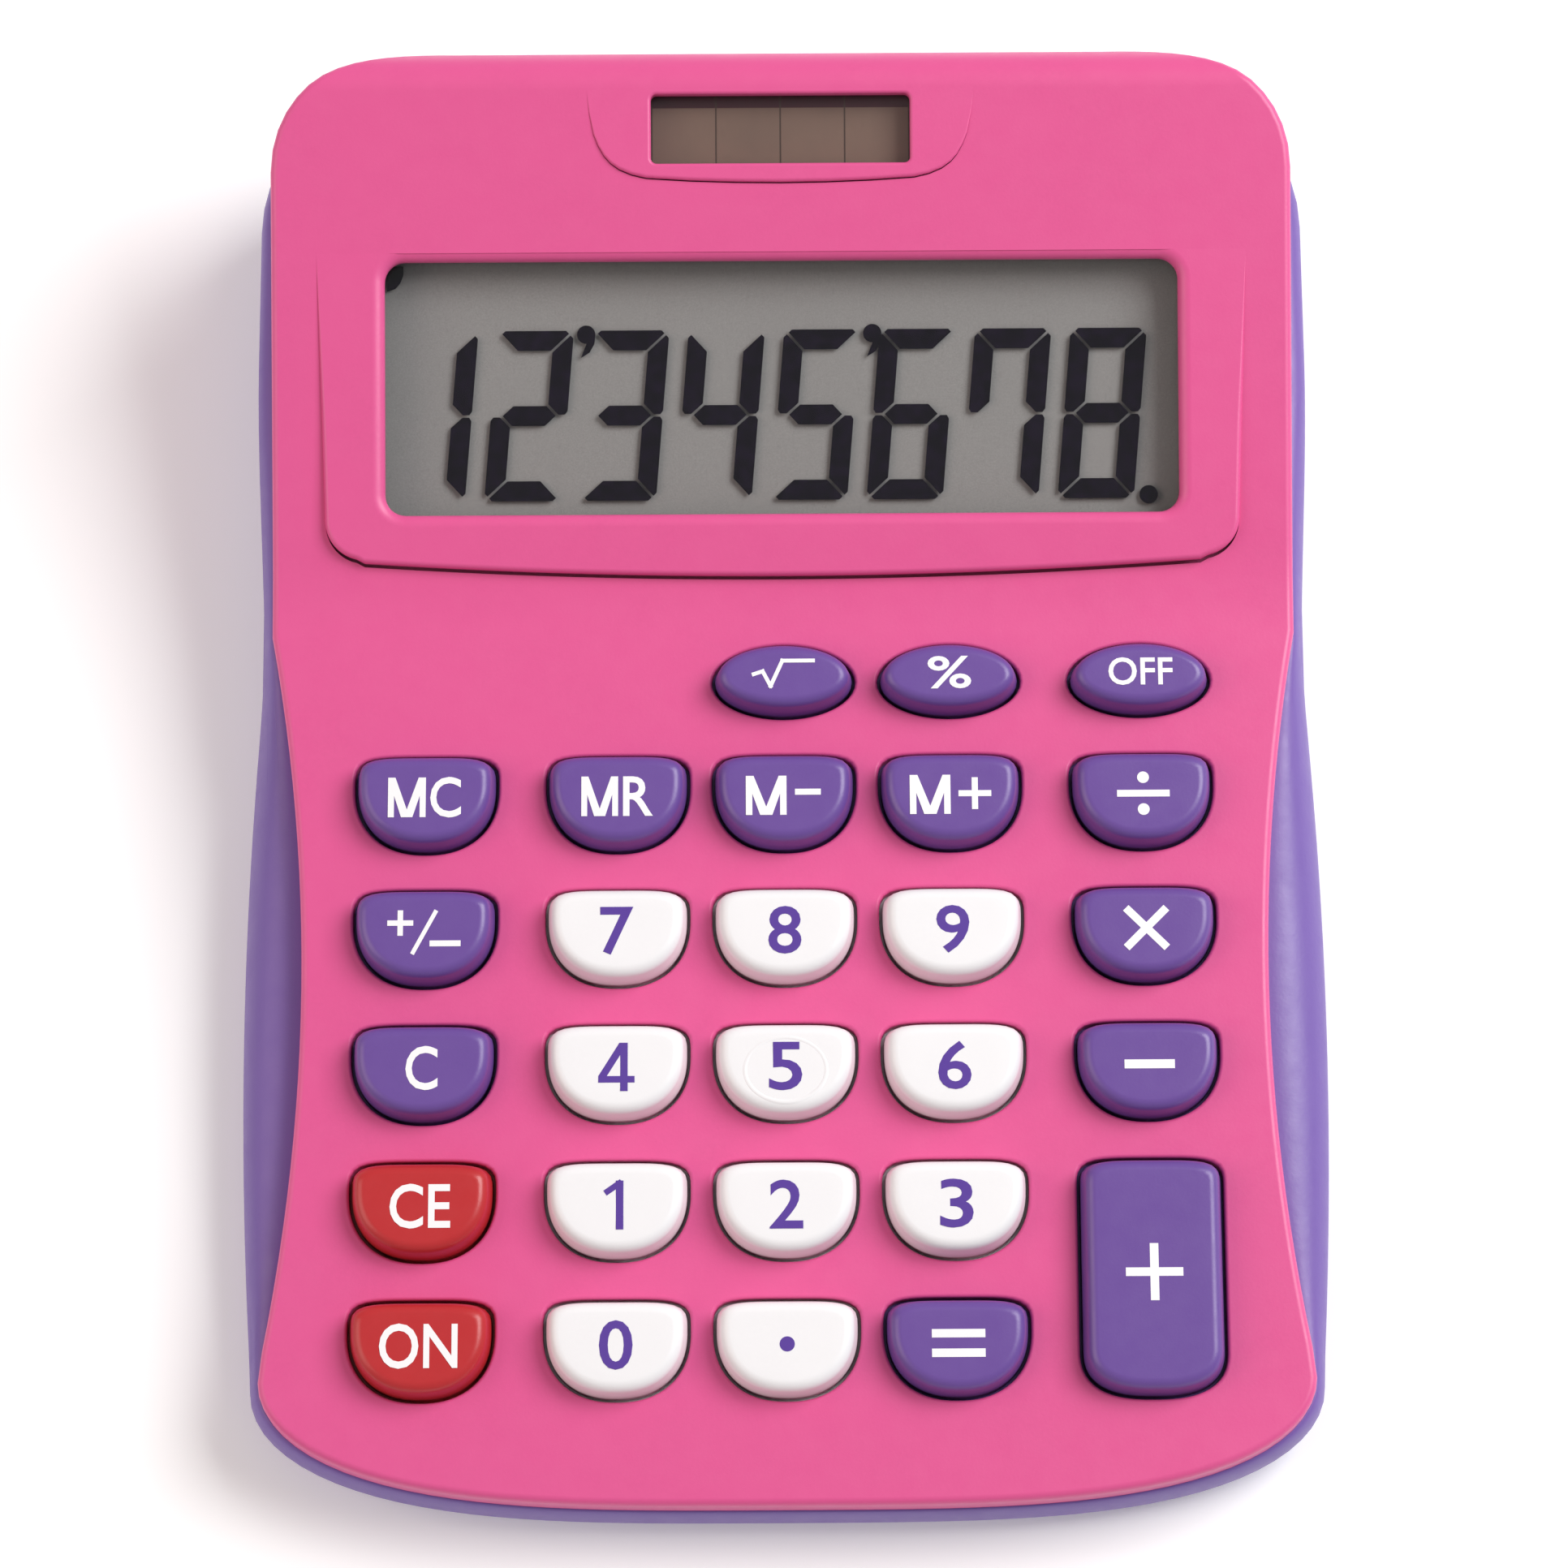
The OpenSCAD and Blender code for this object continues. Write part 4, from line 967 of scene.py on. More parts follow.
def disc(x: float, y: float, radius: float) -> list[tuple[float, float]]:
    """Give a dot's points."""
    steps = [2 * math.pi * i / 24 for i in range(24)]
    return [(x + radius * math.cos(t), y + radius * math.sin(t)) for t in steps]


def stroke(path: Sequence[tuple[float, float]], width: float) -> list[list[tuple[float, float]]]:
    """Give one four-sided piece for each stretch of a pen stroke."""
    made = []
    for (ax, ay), (bx, by) in zip(path, path[1:]):
        span = math.hypot(bx - ax, by - ay)
        ux, uy = (bx - ax) / span * width / 2, (by - ay) / span * width / 2
        made.append([(ax + uy - ux, ay - ux - uy), (bx + uy + ux, by - ux + uy),
                     (bx - uy + ux, by + ux + uy), (ax - uy - ux, ay + ux - uy)])
    return made


def letter_m(x: float, width: float, height: float) -> tuple[list[tuple[float, float]], ...]:
    """Give a capital M: two stems and the wedge between them."""
    a, b, pen = width / 2, height / 2, 0.16 * width
    wedge = [(x - a, b), (x - a * 0.3, -b), (x + a * 0.3, -b), (x + a, b), (x + a - pen * 1.2, b),
             (x, -b + pen * 1.3), (x - a + pen * 1.2, b)]
    return (bar(x - a + pen / 2, 0, pen, height), bar(x + a - pen / 2, 0, pen, height), wedge)


@dataclass(frozen=True)
class Sign:
    """What is printed on a key: words in plain type, or drawn loops."""

    words: tuple[tuple[str, float, float, float, float], ...] = ()
    loops: tuple = ()


def word(text: str, width: float, height: float, x: float = 0.0, y: float = 0.0) -> Sign:
    """Give a sign of one word, fitted to a box about its middle."""
    return Sign(words=((text, width, height, x, y),))


SIGNS: dict[str, Sign] = {
    **{f"key_{n}": word(str(n), 3.3, 4.87) for n in (0, 2, 3, 5, 6, 8, 9)},
    "key_1": Sign(loops=(bar(0.35, 0, 0.74, 4.87), *stroke([(-0.85, 1.35), (0.3, 2.15)], 0.6))),
    "key_4": Sign(loops=(bar(0.75, 0, 0.74, 4.87), bar(0, -1.25, 3.6, 0.66),
                         [(-1.8, -0.92), (-0.95, -0.92), (0.38, 1.2), (0.38, 2.435), (0.3, 2.435)])),
    "key_7": word("7", 3.3, 4.87), "key_off": word("OFF", 6.5, 2.9),
    "key_mc": Sign((("C", 3.1, 4.2, 2.1, 0.0),), letter_m(-1.8, 3.8, 4.1)),
    "key_mr": Sign((("R", 3.0, 4.1, 2.1, 0.0),), letter_m(-1.75, 3.7, 4.1)),
    "key_m_minus": Sign(loops=(*letter_m(-1.8, 4.1, 4.05), bar(2.4, 0.35, 2.6, 0.62))),
    "key_m_plus": Sign(loops=(*letter_m(-2.1, 4.1, 4.05), bar(2.4, 0.1, 3.3, 0.62),
                              bar(2.4, 0.1, 0.62, 3.3))),
    "key_ce": word("CE", 6.0, 4.45), "key_on": word("ON", 7.7, 4.45), "key_c": word("C", 3.2, 4.45),
    "key_point": Sign(loops=(disc(0, 0, 0.75),)),
    "key_minus": Sign(loops=(bar(0, 0, 5.0, 0.9),)),
    "key_equals": Sign(loops=(bar(0, 0.96, 5.25, 0.83), bar(0, -0.96, 5.25, 0.83))),
    "key_plus": Sign(loops=(bar(0, 0, 5.65, 0.85), bar(0, 0, 0.85, 5.65))),
    "key_multiply": Sign(loops=(*stroke([(-1.75, -1.75), (1.75, 1.75)], 0.8),
                                *stroke([(-1.75, 1.75), (1.75, -1.75)], 0.8))),
    "key_divide": Sign(loops=(bar(0, 0, 5.3, 0.7), disc(0, 1.65, 0.6), disc(0, -1.65, 0.6))),
    "key_sqrt": Sign(loops=tuple(stroke([(-3.0, -0.1), (-2.1, 0.2), (-1.3, -1.35), (-0.1, 1.3), (3.0, 1.3)],
                                        0.4))),
    "key_percent": word("%", 4.4, 3.4),
    "key_sign": Sign(loops=(bar(-2.3, 0.9, 2.6, 0.55), bar(-2.3, 0.9, 0.55, 2.6),
                            *stroke([(-1.0, -2.1), (1.2, 2.0)], 0.42), bar(2.2, -1.2, 3.1, 0.6))),
}


def type_faces(text: str, width: float, height: float, x: float, y: float) -> list[list[tuple[float, float]]]:
    """Give the flat faces of a word in plain type, fitted to a box.

    Args:
        text: The word.
        width: Width of the box in millimetres.
        height: Height of the box in millimetres.
        x: Middle of the box across.
        y: Middle of the box along.

    Returns:
        Faces as loops of points.
    """
    curve = bpy.data.curves.new("type", "FONT")
    curve.body = text
    curve.resolution_u = 4
    curve.offset = 0.012
    holder = bpy.data.objects.new("type", curve)
    bpy.context.scene.collection.objects.link(holder)
    bpy.context.view_layer.update()
    mesh = bpy.data.meshes.new_from_object(holder)
    spots = [(v.co.x, v.co.y) for v in mesh.vertices]
    low = [min(p[i] for p in spots) for i in (0, 1)]
    high = [max(p[i] for p in spots) for i in (0, 1)]
    scale = [width / (high[0] - low[0]), height / (high[1] - low[1])]
    middle = [(low[i] + high[i]) / 2 for i in (0, 1)]
    made = [[(x + (spots[v][0] - middle[0]) * scale[0], y + (spots[v][1] - middle[1]) * scale[1])
             for v in p.vertices] for p in mesh.polygons]
    bpy.data.objects.remove(holder)
    bpy.data.curves.remove(curve)
    bpy.data.meshes.remove(mesh)
    return made


def thin_plates(shape: Shape, faces: Sequence[Sequence[tuple[float, float]]], plane: Plane, at: tuple,
                low: float, high: float) -> None:
    """Raise flat faces into thin closed plates.

    Args:
        shape: Shape that gets them.
        faces: Loops of points, in millimetres.
        plane: Plane that they lie on.
        at: x and s of their origin on the plane.
        low: Level of the underside.
        high: Level of the top.
    """
    up = plane.way(0, 0, 1)
    count: dict[tuple, int] = {}
    for face in faces:
        keys = [(round(x, 4), round(y, 4)) for x, y in face]
        for a, b in zip(keys, keys[1:] + keys[:1]):
            count[(a, b)] = count.get((a, b), 0) + 1
    for face in faces:
        area = sum(a[0] * b[1] - b[0] * a[1] for a, b in zip(face, list(face[1:]) + [face[0]]))
        loop = list(face) if area > 0 else list(reversed(face))
        for level, way in ((high, up), (low, -up)):
            shape.face([(plane.point(at[0] + x, at[1] + y, level), way) for x, y in loop])
        for (ax, ay), (bx, by) in zip(loop, loop[1:] + loop[:1]):
            a, b = (round(ax, 4), round(ay, 4)), (round(bx, 4), round(by, 4))
            if count.get((a, b), 0) + count.get((b, a), 0) > 1:
                continue
            side = plane.way(by - ay, ax - bx, 0)
            shape.face([(plane.point(at[0] + px, at[1] + py, w), side)
                        for px, py, w in ((ax, ay, low), (bx, by, low), (bx, by, high), (ax, ay, high))])


@dataclass
class PushKey:
    """One key: a hollow cap with a flange that keeps it in the case, a stem and its printed sign."""

    name: str
    column: int
    s: float
    form: KeyForm
    finish: Finish
    slot: str
    cap_low: float = -2.05
    flange_low: float = -2.75
    cap_wall: float = 1.6
    ceiling: float = 1.7
    crown: float = 3.0

    def _rings(self, levels: Sequence[tuple[float, float, float]]) -> list[list[Corner]]:
        """Give rings of the cap; each level is an inset, a height and the tilt of its direction."""
        plane, x0 = CASE.keypad, KEYS.columns[self.column]
        rings = []
        for inset, w, tilt in levels:
            c, k = math.cos(tilt), math.sin(tilt)
            rings.append([(plane.point(x0 + x, self.s + y, w), plane.way(u * c, v * c, k))
                          for x, y, u, v in KEYS.outline(self.form, -inset)])
        return rings

    def _band(self, shape: Shape, levels: Sequence[tuple[float, float]]) -> None:
        """Add flat bands between levels, each with its own sharp edges."""
        for (i0, w0), (i1, w1) in zip(levels, levels[1:]):
            tilt = math.atan2(i1 - i0, w1 - w0)
            shape.skin(self._rings([(i0, w0, tilt), (i1, w1, tilt)]))

    def _centre(self) -> tuple[float, float]:
        """Give a point inside every outline of the key, for its fans."""
        return KEYS.columns[self.column], self.s

    def build(self) -> None:
        """Make the cap, its stem and its sign."""
        plane = CASE.keypad
        up = plane.way(0, 0, 1)
        x0, s0 = self._centre()
        shape = Shape()
        wall = [(0.0, self.cap_low, 0.0), (0.05, 0.0, 0.05), (0.2, 1.0, 0.15), (0.34, 1.9, 0.16)]
        turn = [(1.5 - 1.16 * math.cos(t), 1.9 + 1.03 * math.sin(t), max(0.16, t))
                for t in (math.radians(a) for a in (10, 20, 30, 40, 50, 60, 70, 80, 88))]
        rings = self._rings(wall + turn)
        shape.skin(rings)
        last = rings[-1]
        crown = [last]
        for share, w, tilt in ((0.75, 2.96, 0.03), (0.5, 2.98, 0.02), (0.25, 2.995, 0.01)):
            crown.append([(plane.point(x0, s0, w) + (p - plane.point(x0, s0, 2.93)) * share,
                           (up + (n - up) * tilt).normalized()) for p, n in last])
        shape.skin(crown)
        shape.fan(crown[-1], (plane.point(x0, s0, self.crown), up))
        f, low = KEYS.flange, self.flange_low
        self._band(shape, [(0.0, self.cap_low), (-f + 0.1, self.cap_low), (-f, self.cap_low - 0.1),
                           (-f, low + 0.1), (-f + 0.1, low), (self.cap_wall, low)])
        shape.skin(self._rings([(self.cap_wall, low, math.pi), (self.cap_wall, self.ceiling, math.pi)]))
        ceiling = self._rings([(self.cap_wall, self.ceiling, -math.pi / 2)])[0]
        shape.fan(ceiling, (plane.point(x0, s0, self.ceiling), -up))
        stem = [(0.0, -3.2), (1.5, -3.2), (1.7, -3.0), (1.7, 1.8), (0.0, 1.8)]
        shape.revolve(stem, lambda x, s, w: plane.point(x0 + x, s0 + s, w), 32)
        shape.finish(f"{self.name}_cap", self.finish, self.name, self.slot, (self.name,))
        self._print()

    def _print(self) -> None:
        """Print the key's sign on its top."""
        sign = SIGNS[self.name]
        white = self.finish is Finish.KEY_WHITE
        faces = [face for w in sign.words for face in type_faces(*w)]
        shape = Shape()
        at = (KEYS.columns[self.column], self.s + 0.15)
        plates = [faces] if faces else []
        plates += [[list(loop)] for loop in sign.loops]
        for i, group in enumerate(plates):
            thin_plates(shape, group, CASE.keypad, at, 2.9, 3.012 + 0.0015 * i)
        if self.name == "key_5":
            self._ring()
        ink, slot = (Finish.INK_PURPLE, "key_purple") if white else (Finish.INK_WHITE, "key_white")
        shape.finish(f"{self.name}_sign", ink, self.name, slot)

    def _ring(self) -> None:
        """Add the faint raised ring that marks the middle key for the finger."""
        plane = CASE.keypad
        x0, s0 = self._centre()
        ridge = [(3.75, 2.9), (3.9, 2.985), (4.05, 3.005), (4.2, 2.985), (4.35, 2.9), (3.75, 2.9)]
        shape = Shape()
        shape.revolve(list(reversed(ridge)), lambda x, s, w: plane.point(x0 + x, s0 - 0.2 + s * 0.8, w), 64)
        shape.finish("key_5_ring", Finish.KEY_WHITE, self.name, "key_white")


def all_keys() -> list[PushKey]:
    """List the 27 keys, row by row from the rear."""
    white, purple, red = ((Finish.KEY_WHITE, "key_white"), (Finish.KEY_PURPLE, "key_purple"),
                          (Finish.KEY_RED, "key_red"))
    rows = [
        (KEYS.oval_row, [None, None, ("sqrt", purple), ("percent", purple), ("off", purple)]),
        (KEYS.first_row + 4 * KEYS.row, [("mc", purple), ("mr", purple), ("m_minus", purple),
                                         ("m_plus", purple), ("divide", purple)]),
        (KEYS.first_row + 3 * KEYS.row, [("sign", purple), ("7", white), ("8", white), ("9", white),
                                         ("multiply", purple)]),
        (KEYS.first_row + 2 * KEYS.row, [("c", purple), ("4", white), ("5", white), ("6", white),
                                         ("minus", purple)]),
        (KEYS.first_row + KEYS.row, [("ce", red), ("1", white), ("2", white), ("3", white), None]),
        (KEYS.first_row, [("on", red), ("0", white), ("point", white), ("equals", purple), None]),
    ]
    made = []
    for s, names in rows:
        form = KeyForm.OVAL if s == KEYS.oval_row else KeyForm.ROUND
        for column, entry in enumerate(names):
            if entry:
                made.append(PushKey(f"key_{entry[0]}", column, s, form, *entry[1]))
    made.append(PushKey("key_plus", 4, KEYS.first_row + KEYS.row / 2, KeyForm.TALL, *purple))
    return made


# ---------- Case ----------


@dataclass
class TopShell:
    """Pink upper shell, with the raised panel, the pod, the key holes and its bosses."""

    keys: list[PushKey]
    edge: float = 0.8
    hole_round: float = 0.35
    window: tuple[float, float, float] = (81.2, 26.0, 2.1)
    window_round: float = 1.3
    window_deep: float = 1.0
    window_top: float = -1.4
    window_seat: float = 4.3
    solar: tuple[float, float, float] = (26.5, 7.1, 0.6)
    solar_round: float = 0.35
    solar_top: float = -1.3
    solar_seat: float = 2.9
    boss_x: float = 26.3

    def build(self) -> None:
        """Make the whole shell."""
        self.shape = Shape()
        self.outer = Profile(CASE, 0.0)
        self.inner = Profile(CASE, CASE.wall)
        self.holes: list[list[tuple[float, float]]] = []
        self.inner_holes: list[list[tuple[float, float]]] = []
        self._key_holes()
        self._panel()
        self._pod()
        self._walls()
        self._bosses()
        self.shape.finish("top_shell_skin", Finish.CASE_PINK, "case", "case_pink", ("top_shell",))

    def _quarter(self, plane: Plane, at: tuple[float, float], outline: Callable, size: float, deep: float,
                 bottom: float) -> None:
        """Round the edge of an opening and run its wall down.

        Args:
            plane: Plane that the opening is in.
            at: x and s of its middle.
            outline: Function from a distance outwards to the opening's outline.
            size: Width of the rounding.
            deep: Depth of the rounding.
            bottom: Level at which the wall ends.
        """
        rings = []
        for i in range(7):
            t = math.pi / 2 * i / 6
            c, k = math.cos(t), math.sin(t)
            rings.append([(plane.point(at[0] + x, at[1] + y, deep * (c - 1)),
                           plane.way(-u * k * deep, -v * k * deep, c * size))
                          for x, y, u, v in outline(size * (1 - k))])
        foot = [(plane.point(at[0] + x, at[1] + y, bottom), plane.way(-u, -v, 0))
                for x, y, u, v in outline(0)]
        self.shape.skin(rings)
        self.shape.skin([rings[-1], foot])

    def _key_holes(self) -> None:
        """Open a hole with a softly rounded edge for each key."""
        for key in self.keys:
            at = (KEYS.columns[key.column], key.s)
            self._quarter(CASE.keypad, at, lambda e, f=key.form: KEYS.outline(f, KEYS.gap + e),
                          self.hole_round, self.hole_round, -CASE.wall)
            hole = KEYS.outline(key.form, KEYS.gap + self.hole_round)
            self.holes.append([(at[0] + x, at[1] + y) for x, y, _, _ in hole])
            hole = KEYS.outline(key.form, KEYS.gap)
            self.inner_holes.append([(at[0] + x, at[1] + y) for x, y, _, _ in hole])

    def _raise(self, plane: Plane, loop: Outline, rise: Callable, holes: list) -> None:
        """Raise a flat-topped step out of the surface, its upper edge rounded.

        Args:
            plane: Plane of the step's top.
            loop: Outline of the step on that plane.
            rise: Function from s on the plane to the step's height.
            holes: Outlines left open in its top.
        """
        up = plane.way(0, 0, 1)
        base, rings = [], [[] for _ in range(7)]
        flat: list[tuple[float, float]] = []
        for x, s, u, v in loop:
            high = max(0.0, rise(s))
            r = min(0.55, high * 0.85)
            foot = plane.point(x, s, -high)
            side = plane.way(u, v, 0)
            base.append((foot, side))
            for i in range(7):
                t = math.pi / 2 * i / 6
                inset = r * (1 - math.cos(t))
                place = plane.point(x - u * inset, s - v * inset, -r + r * math.sin(t))
                way = side * math.cos(t) + up * math.sin(t) if r > 1e-4 else up
                rings[i].append((place, way))
            flat.append((x - u * r, s - v * r))
        self.shape.skin([base, rings[0]])
        self.shape.skin(rings)
        for corners in triangulate(flat, holes):
            self.shape.face([(plane.point(x, s, 0), up) for x, s in corners])
        self.holes.append([(x, self.outer.s_of_y(plane.point(x, s, 0).y)) for x, s, _, _ in loop])

    def _panel(self) -> None:
        """Make the raised panel with the display's opening."""
        half, bow, corner, taper = 47.5, 1.85, 4.0, 0.8
        low, high = CASE.panel_low - CASE.panel_mid, CASE.panel_high - CASE.panel_mid
        flat = half - corner - taper
        right = [(flat * i / 14, low + bow * (flat * i / 14 / half) ** 2) for i in range(15)]
        right += [(flat + corner * math.cos(math.radians(a)),
                   low + bow + corner + corner * math.sin(math.radians(a))) for a in range(-78, 1, 6)]
        right += [(half - taper + taper * i / 8, low + bow + corner + (high - low - bow - corner) * i / 8)
                  for i in range(1, 9)]
        loop = right + [(-x, y) for x, y in reversed(right[1:])]
        self._step(CASE.panel, loop, lambda s: (high - s) * math.tan(CASE.panel_relief), self.window,
                   (self.window_round, self.window_deep), self.window_top, (self.window_seat, 1.0))

    def _step(self, plane: Plane, loop: list, rise: Callable, opening: tuple, rounding: tuple, top: float,
              seat: tuple) -> None:
        """Make a raised step with the opening and the pocket of its window.

        Args:
            plane: Plane of the step's top.
            loop: Outline of the step on that plane.
            rise: Function from s on the plane to the step's height.
            opening: Width, length and corner radius of the opening.
            rounding: Width and depth of the opening's rounded edge.
            top: Level of the pocket's ceiling.
            seat: How much wider than the opening the pocket is, and its corner radius.
        """
        self._quarter(plane, (0, 0), lambda e: rounded_rect(*opening, e), *rounding, top)
        hole = [(x, y) for x, y, _, _ in rounded_rect(*opening, rounding[0])]
        self._raise(plane, with_directions(loop), rise, [hole])
        self._pocket(plane, (opening[0] + seat[0], opening[1] + seat[0], seat[1]), opening, top, rise)

    def _pocket(self, plane: Plane, pocket: tuple, opening: tuple, top: float, rise: Callable) -> None:
        """Cut the pocket that holds a window behind its opening, through the inner skin.

        Args:
            plane: Plane of the opening.
            pocket: Width, length and corner radius of the pocket.
            opening: Width, length and corner radius of the opening.
            top: Level of the pocket's ceiling.
            rise: Height of the plane above the shell's own surface, from s.
        """
        down = plane.way(0, 0, -1)
        near = [(plane.point(x, y, top), down) for x, y, _, _ in rounded_rect(*opening)]
        far = rounded_rect(*pocket)
        self.shape.skin([near, [(plane.point(x, y, top), down) for x, y, _, _ in far]])
        self.shape.skin([
            [(plane.point(x, y, top), plane.way(-u, -v, 0)) for x, y, u, v in far],
            [(plane.point(x, y, -CASE.wall - rise(y)), plane.way(-u, -v, 0)) for x, y, u, v in far]])
        self.inner_holes.append([(x, self.inner.s_of_y(plane.point(x, y, -CASE.wall - rise(y)).y))
                                 for x, y, _, _ in far])

    def _pod(self) -> None:
        """Make the low pod with the solar cell's opening."""
        low, high = CASE.pod_high - CASE.pod_l, CASE.pod_high
        steps = [(0, 0), (4.6, 0.06), (9.2, 0.22), (13.7, 0.5), (15.2, 0.85), (16.5, 1.4), (17.4, 2.05),
                 (18.05, 2.8), (18.65, 3.85), (19.1, 5), (19.5, 7.0), (19.8, high - low)]
        right = [(x, low + y) for x, y in steps]
        loop = right + [(-x, y) for x, y in reversed(right[1:])]
        self._step(CASE.pod, loop, lambda s: (high - s) * math.tan(CASE.pod_relief), self.solar,
                   (self.solar_round, self.solar_round), self.solar_top, (self.solar_seat, 0.8))

    def _walls(self) -> None:
        """Make the skins, the rounded upper edge and the side walls."""
        offset = Profile(CASE, self.edge)
        loop = CASE.outline(CASE.seam_plan)
        edge_rings: list[list[Corner]] = [[] for _ in range(8)]
        border: list[tuple[float, float]] = []
        wall_low, wall_high = [], []
        for x, y, u, v in loop:
            core_y = y - self.edge * v
            core, up = offset.corner(x - self.edge * u, offset.s_of_y(core_y))
            side = Vector((u, v, 0))
            for i in range(8):
                way = up.slerp(side, i / 7) if up.angle(side) > 1e-3 else up
                edge_rings[i].append((core + way * self.edge, way))
            top = core + up * self.edge
            border.append((top.x, self.outer.s_of_y(top.y)))
            wall_high.append((core + side * self.edge, side))
            wall_low.append((Vector((x, y, CASE.seam_z(y))), side))
        self.shape.skin(edge_rings)
        self.shape.skin([wall_high, wall_low])
        rows = [self.outer.s1 + (self.outer.s2 - self.outer.s1) * i / 8 for i in range(9)]
        rows += [self.outer.s3 + (self.outer.s4 - self.outer.s3) * i / 14 for i in range(14)]
        extra = [(x * 2.6, s) for s in rows for x in range(-19, 20)]
        for corners in triangulate(border, self.holes, extra):
            self.shape.face([self.outer.corner(x, s) for x, s in corners])
        low, high, inner_border = [], [], []
        for x, y, u, v in CASE.outline(CASE.seam_plan, CASE.wall):
            s = self.inner.s_of_y(y)
            place, _ = self.inner.corner(x, s)
            side = Vector((-u, -v, 0))
            inner_border.append((x, s))
            high.append((place, side))
            low.append((Vector((x, y, CASE.seam_z(y))), side))
        self.shape.skin([high, low])
        down = Vector((0, 0, -1))
        self.shape.skin([[(p, down) for p, _ in low], [(p, down) for p, _ in wall_low]])
        rows = [self.inner.s1 + (self.inner.s2 - self.inner.s1) * i / 6 for i in range(7)]
        rows += [self.inner.s3 + (self.inner.s4 - self.inner.s3) * i / 8 for i in range(8)]
        extra = [(x * 4.8, s) for s in rows for x in range(-10, 11)]
        for corners in triangulate(inner_border, self.inner_holes, extra):
            self.shape.face([(p, -n) for p, n in (self.inner.corner(x, s) for x, s in corners)])

    def _bosses(self) -> None:
        """Add the screw bosses under the shell."""
        for side in (-1, 1):
            for x, y, z in ((46.5, 18.0, 8.75), (40.5, 63.0, 8.75)):
                top = self.inner.corner(0, self.inner.s_of_y(y))[0].z + 0.6
                tube = [(1.02, z), (2.6, z), (2.6, top), (1.02, top), (1.02, z)]
                self.shape.revolve(tube, lambda a, b, c, x=x, y=y: Vector((side * x + a, y + b, c)), 28)
            for s in (0.5, 2.5, 4.5):
                tube = [(0.8, -5.6), (1.8, -5.6), (1.8, -1.2), (0.8, -1.2), (0.8, -5.6)]
                at = KEYS.first_row + s * KEYS.row
                self.shape.revolve(
                    tube, lambda a, b, c, at=at: CASE.keypad.point(side * self.boss_x + a, at + b, c), 24)


@dataclass
class BottomShell:
    """Violet lower shell: its ribs, tower and floor, under a smooth outer skin with full grips."""

    proud: float = 0.01
    thick: float = 0.8

    def _level(self, plan: Sequence[float], step: float) -> list[Vector]:
        """Give one ring of the skin: step 0 is the floor, 1 the widest line, 2 the seam."""
        return [Vector((x + u * self.proud, y + v * self.proud, CASE.level_z(y, step)))
                for x, y, u, v in CASE.outline(plan)]

    def build(self) -> None:
        """Make the shell."""
        mix = [tuple(a + (b - a) * t for a, b in zip(p, q)) for p, q, t in (
            *((CASE.base_plan, CASE.rim_plan, math.sin(math.radians(a))) for a in range(34, 91, 8)),
            *((CASE.seam_plan, CASE.rim_plan, math.cos(math.radians(a))) for a in range(6, 91, 6)))]
        steps = [1 - math.cos(math.radians(a)) for a in range(34, 91, 8)]
        steps += [1 + math.sin(math.radians(a)) for a in range(6, 91, 6)]
        rings = [self._level(plan, step) for plan, step in zip(mix, steps)]
        count = len(rings[0])
        normals: list[list[Vector]] = []
        for k, ring in enumerate(rings):
            below, above = rings[max(0, k - 1)], rings[min(len(rings) - 1, k + 1)]
            normals.append([
                (ring[(i + 1) % count] - ring[i - 1]).cross(above[i] - below[i]).normalized()
                for i in range(count)])
        shape = Shape()
        outer = [[(p, n) for p, n in zip(ring, row)] for ring, row in zip(rings, normals)]
        inner = [[(p - n * self.thick, -n) for p, n in row] for row in outer]
        shape.skin(outer)
        shape.skin(inner)
        for row, inside_row, way in ((outer[-1], inner[-1], 1), (outer[0], inner[0], -1)):
            flat = Vector((0, 0, way))
            shape.skin([[(p, flat) for p, _ in row], [(p, flat) for p, _ in inside_row]])
        skin = shape.finish("bottom_shell_skin", Finish.CASE_PURPLE, "case", "case_purple", ("bottom_shell",))
        core = merged_copy("bottom_shell", "bottom_shell_core")
        dress(core, Finish.CASE_PURPLE, "case", "case_purple")
        LOG.info("bottom shell: %s over %s", skin.name, core.name)


def merged_copy(node: str, name: str, angle: float = 30.0) -> bpy.types.Object:
    """Copy a CAD node's mesh, merge its loose corners and shade its curved faces smooth.

    Args:
        node: Name of the CAD node.
        name: Name of the copy.
        angle: Edges sharper than this stay sharp, in degrees.

    Returns:
        The new object.
    """
    mesh = bpy.data.meshes.new(name)
    work = bmesh.new()
    work.from_mesh(frame["nodes"][node].data)
    bmesh.ops.remove_doubles(work, verts=work.verts, dist=2e-6)
    for face in work.faces:
        face.smooth = True
    for edge in work.edges:
        if len(edge.link_faces) == 2:
            edge.smooth = edge.calc_face_angle(0.0) < math.radians(angle)
    work.to_mesh(mesh)
    work.free()
    made = bpy.data.objects.new(name, mesh)
    bpy.context.scene.collection.objects.link(made)
    return made


# ---------- Display ----------


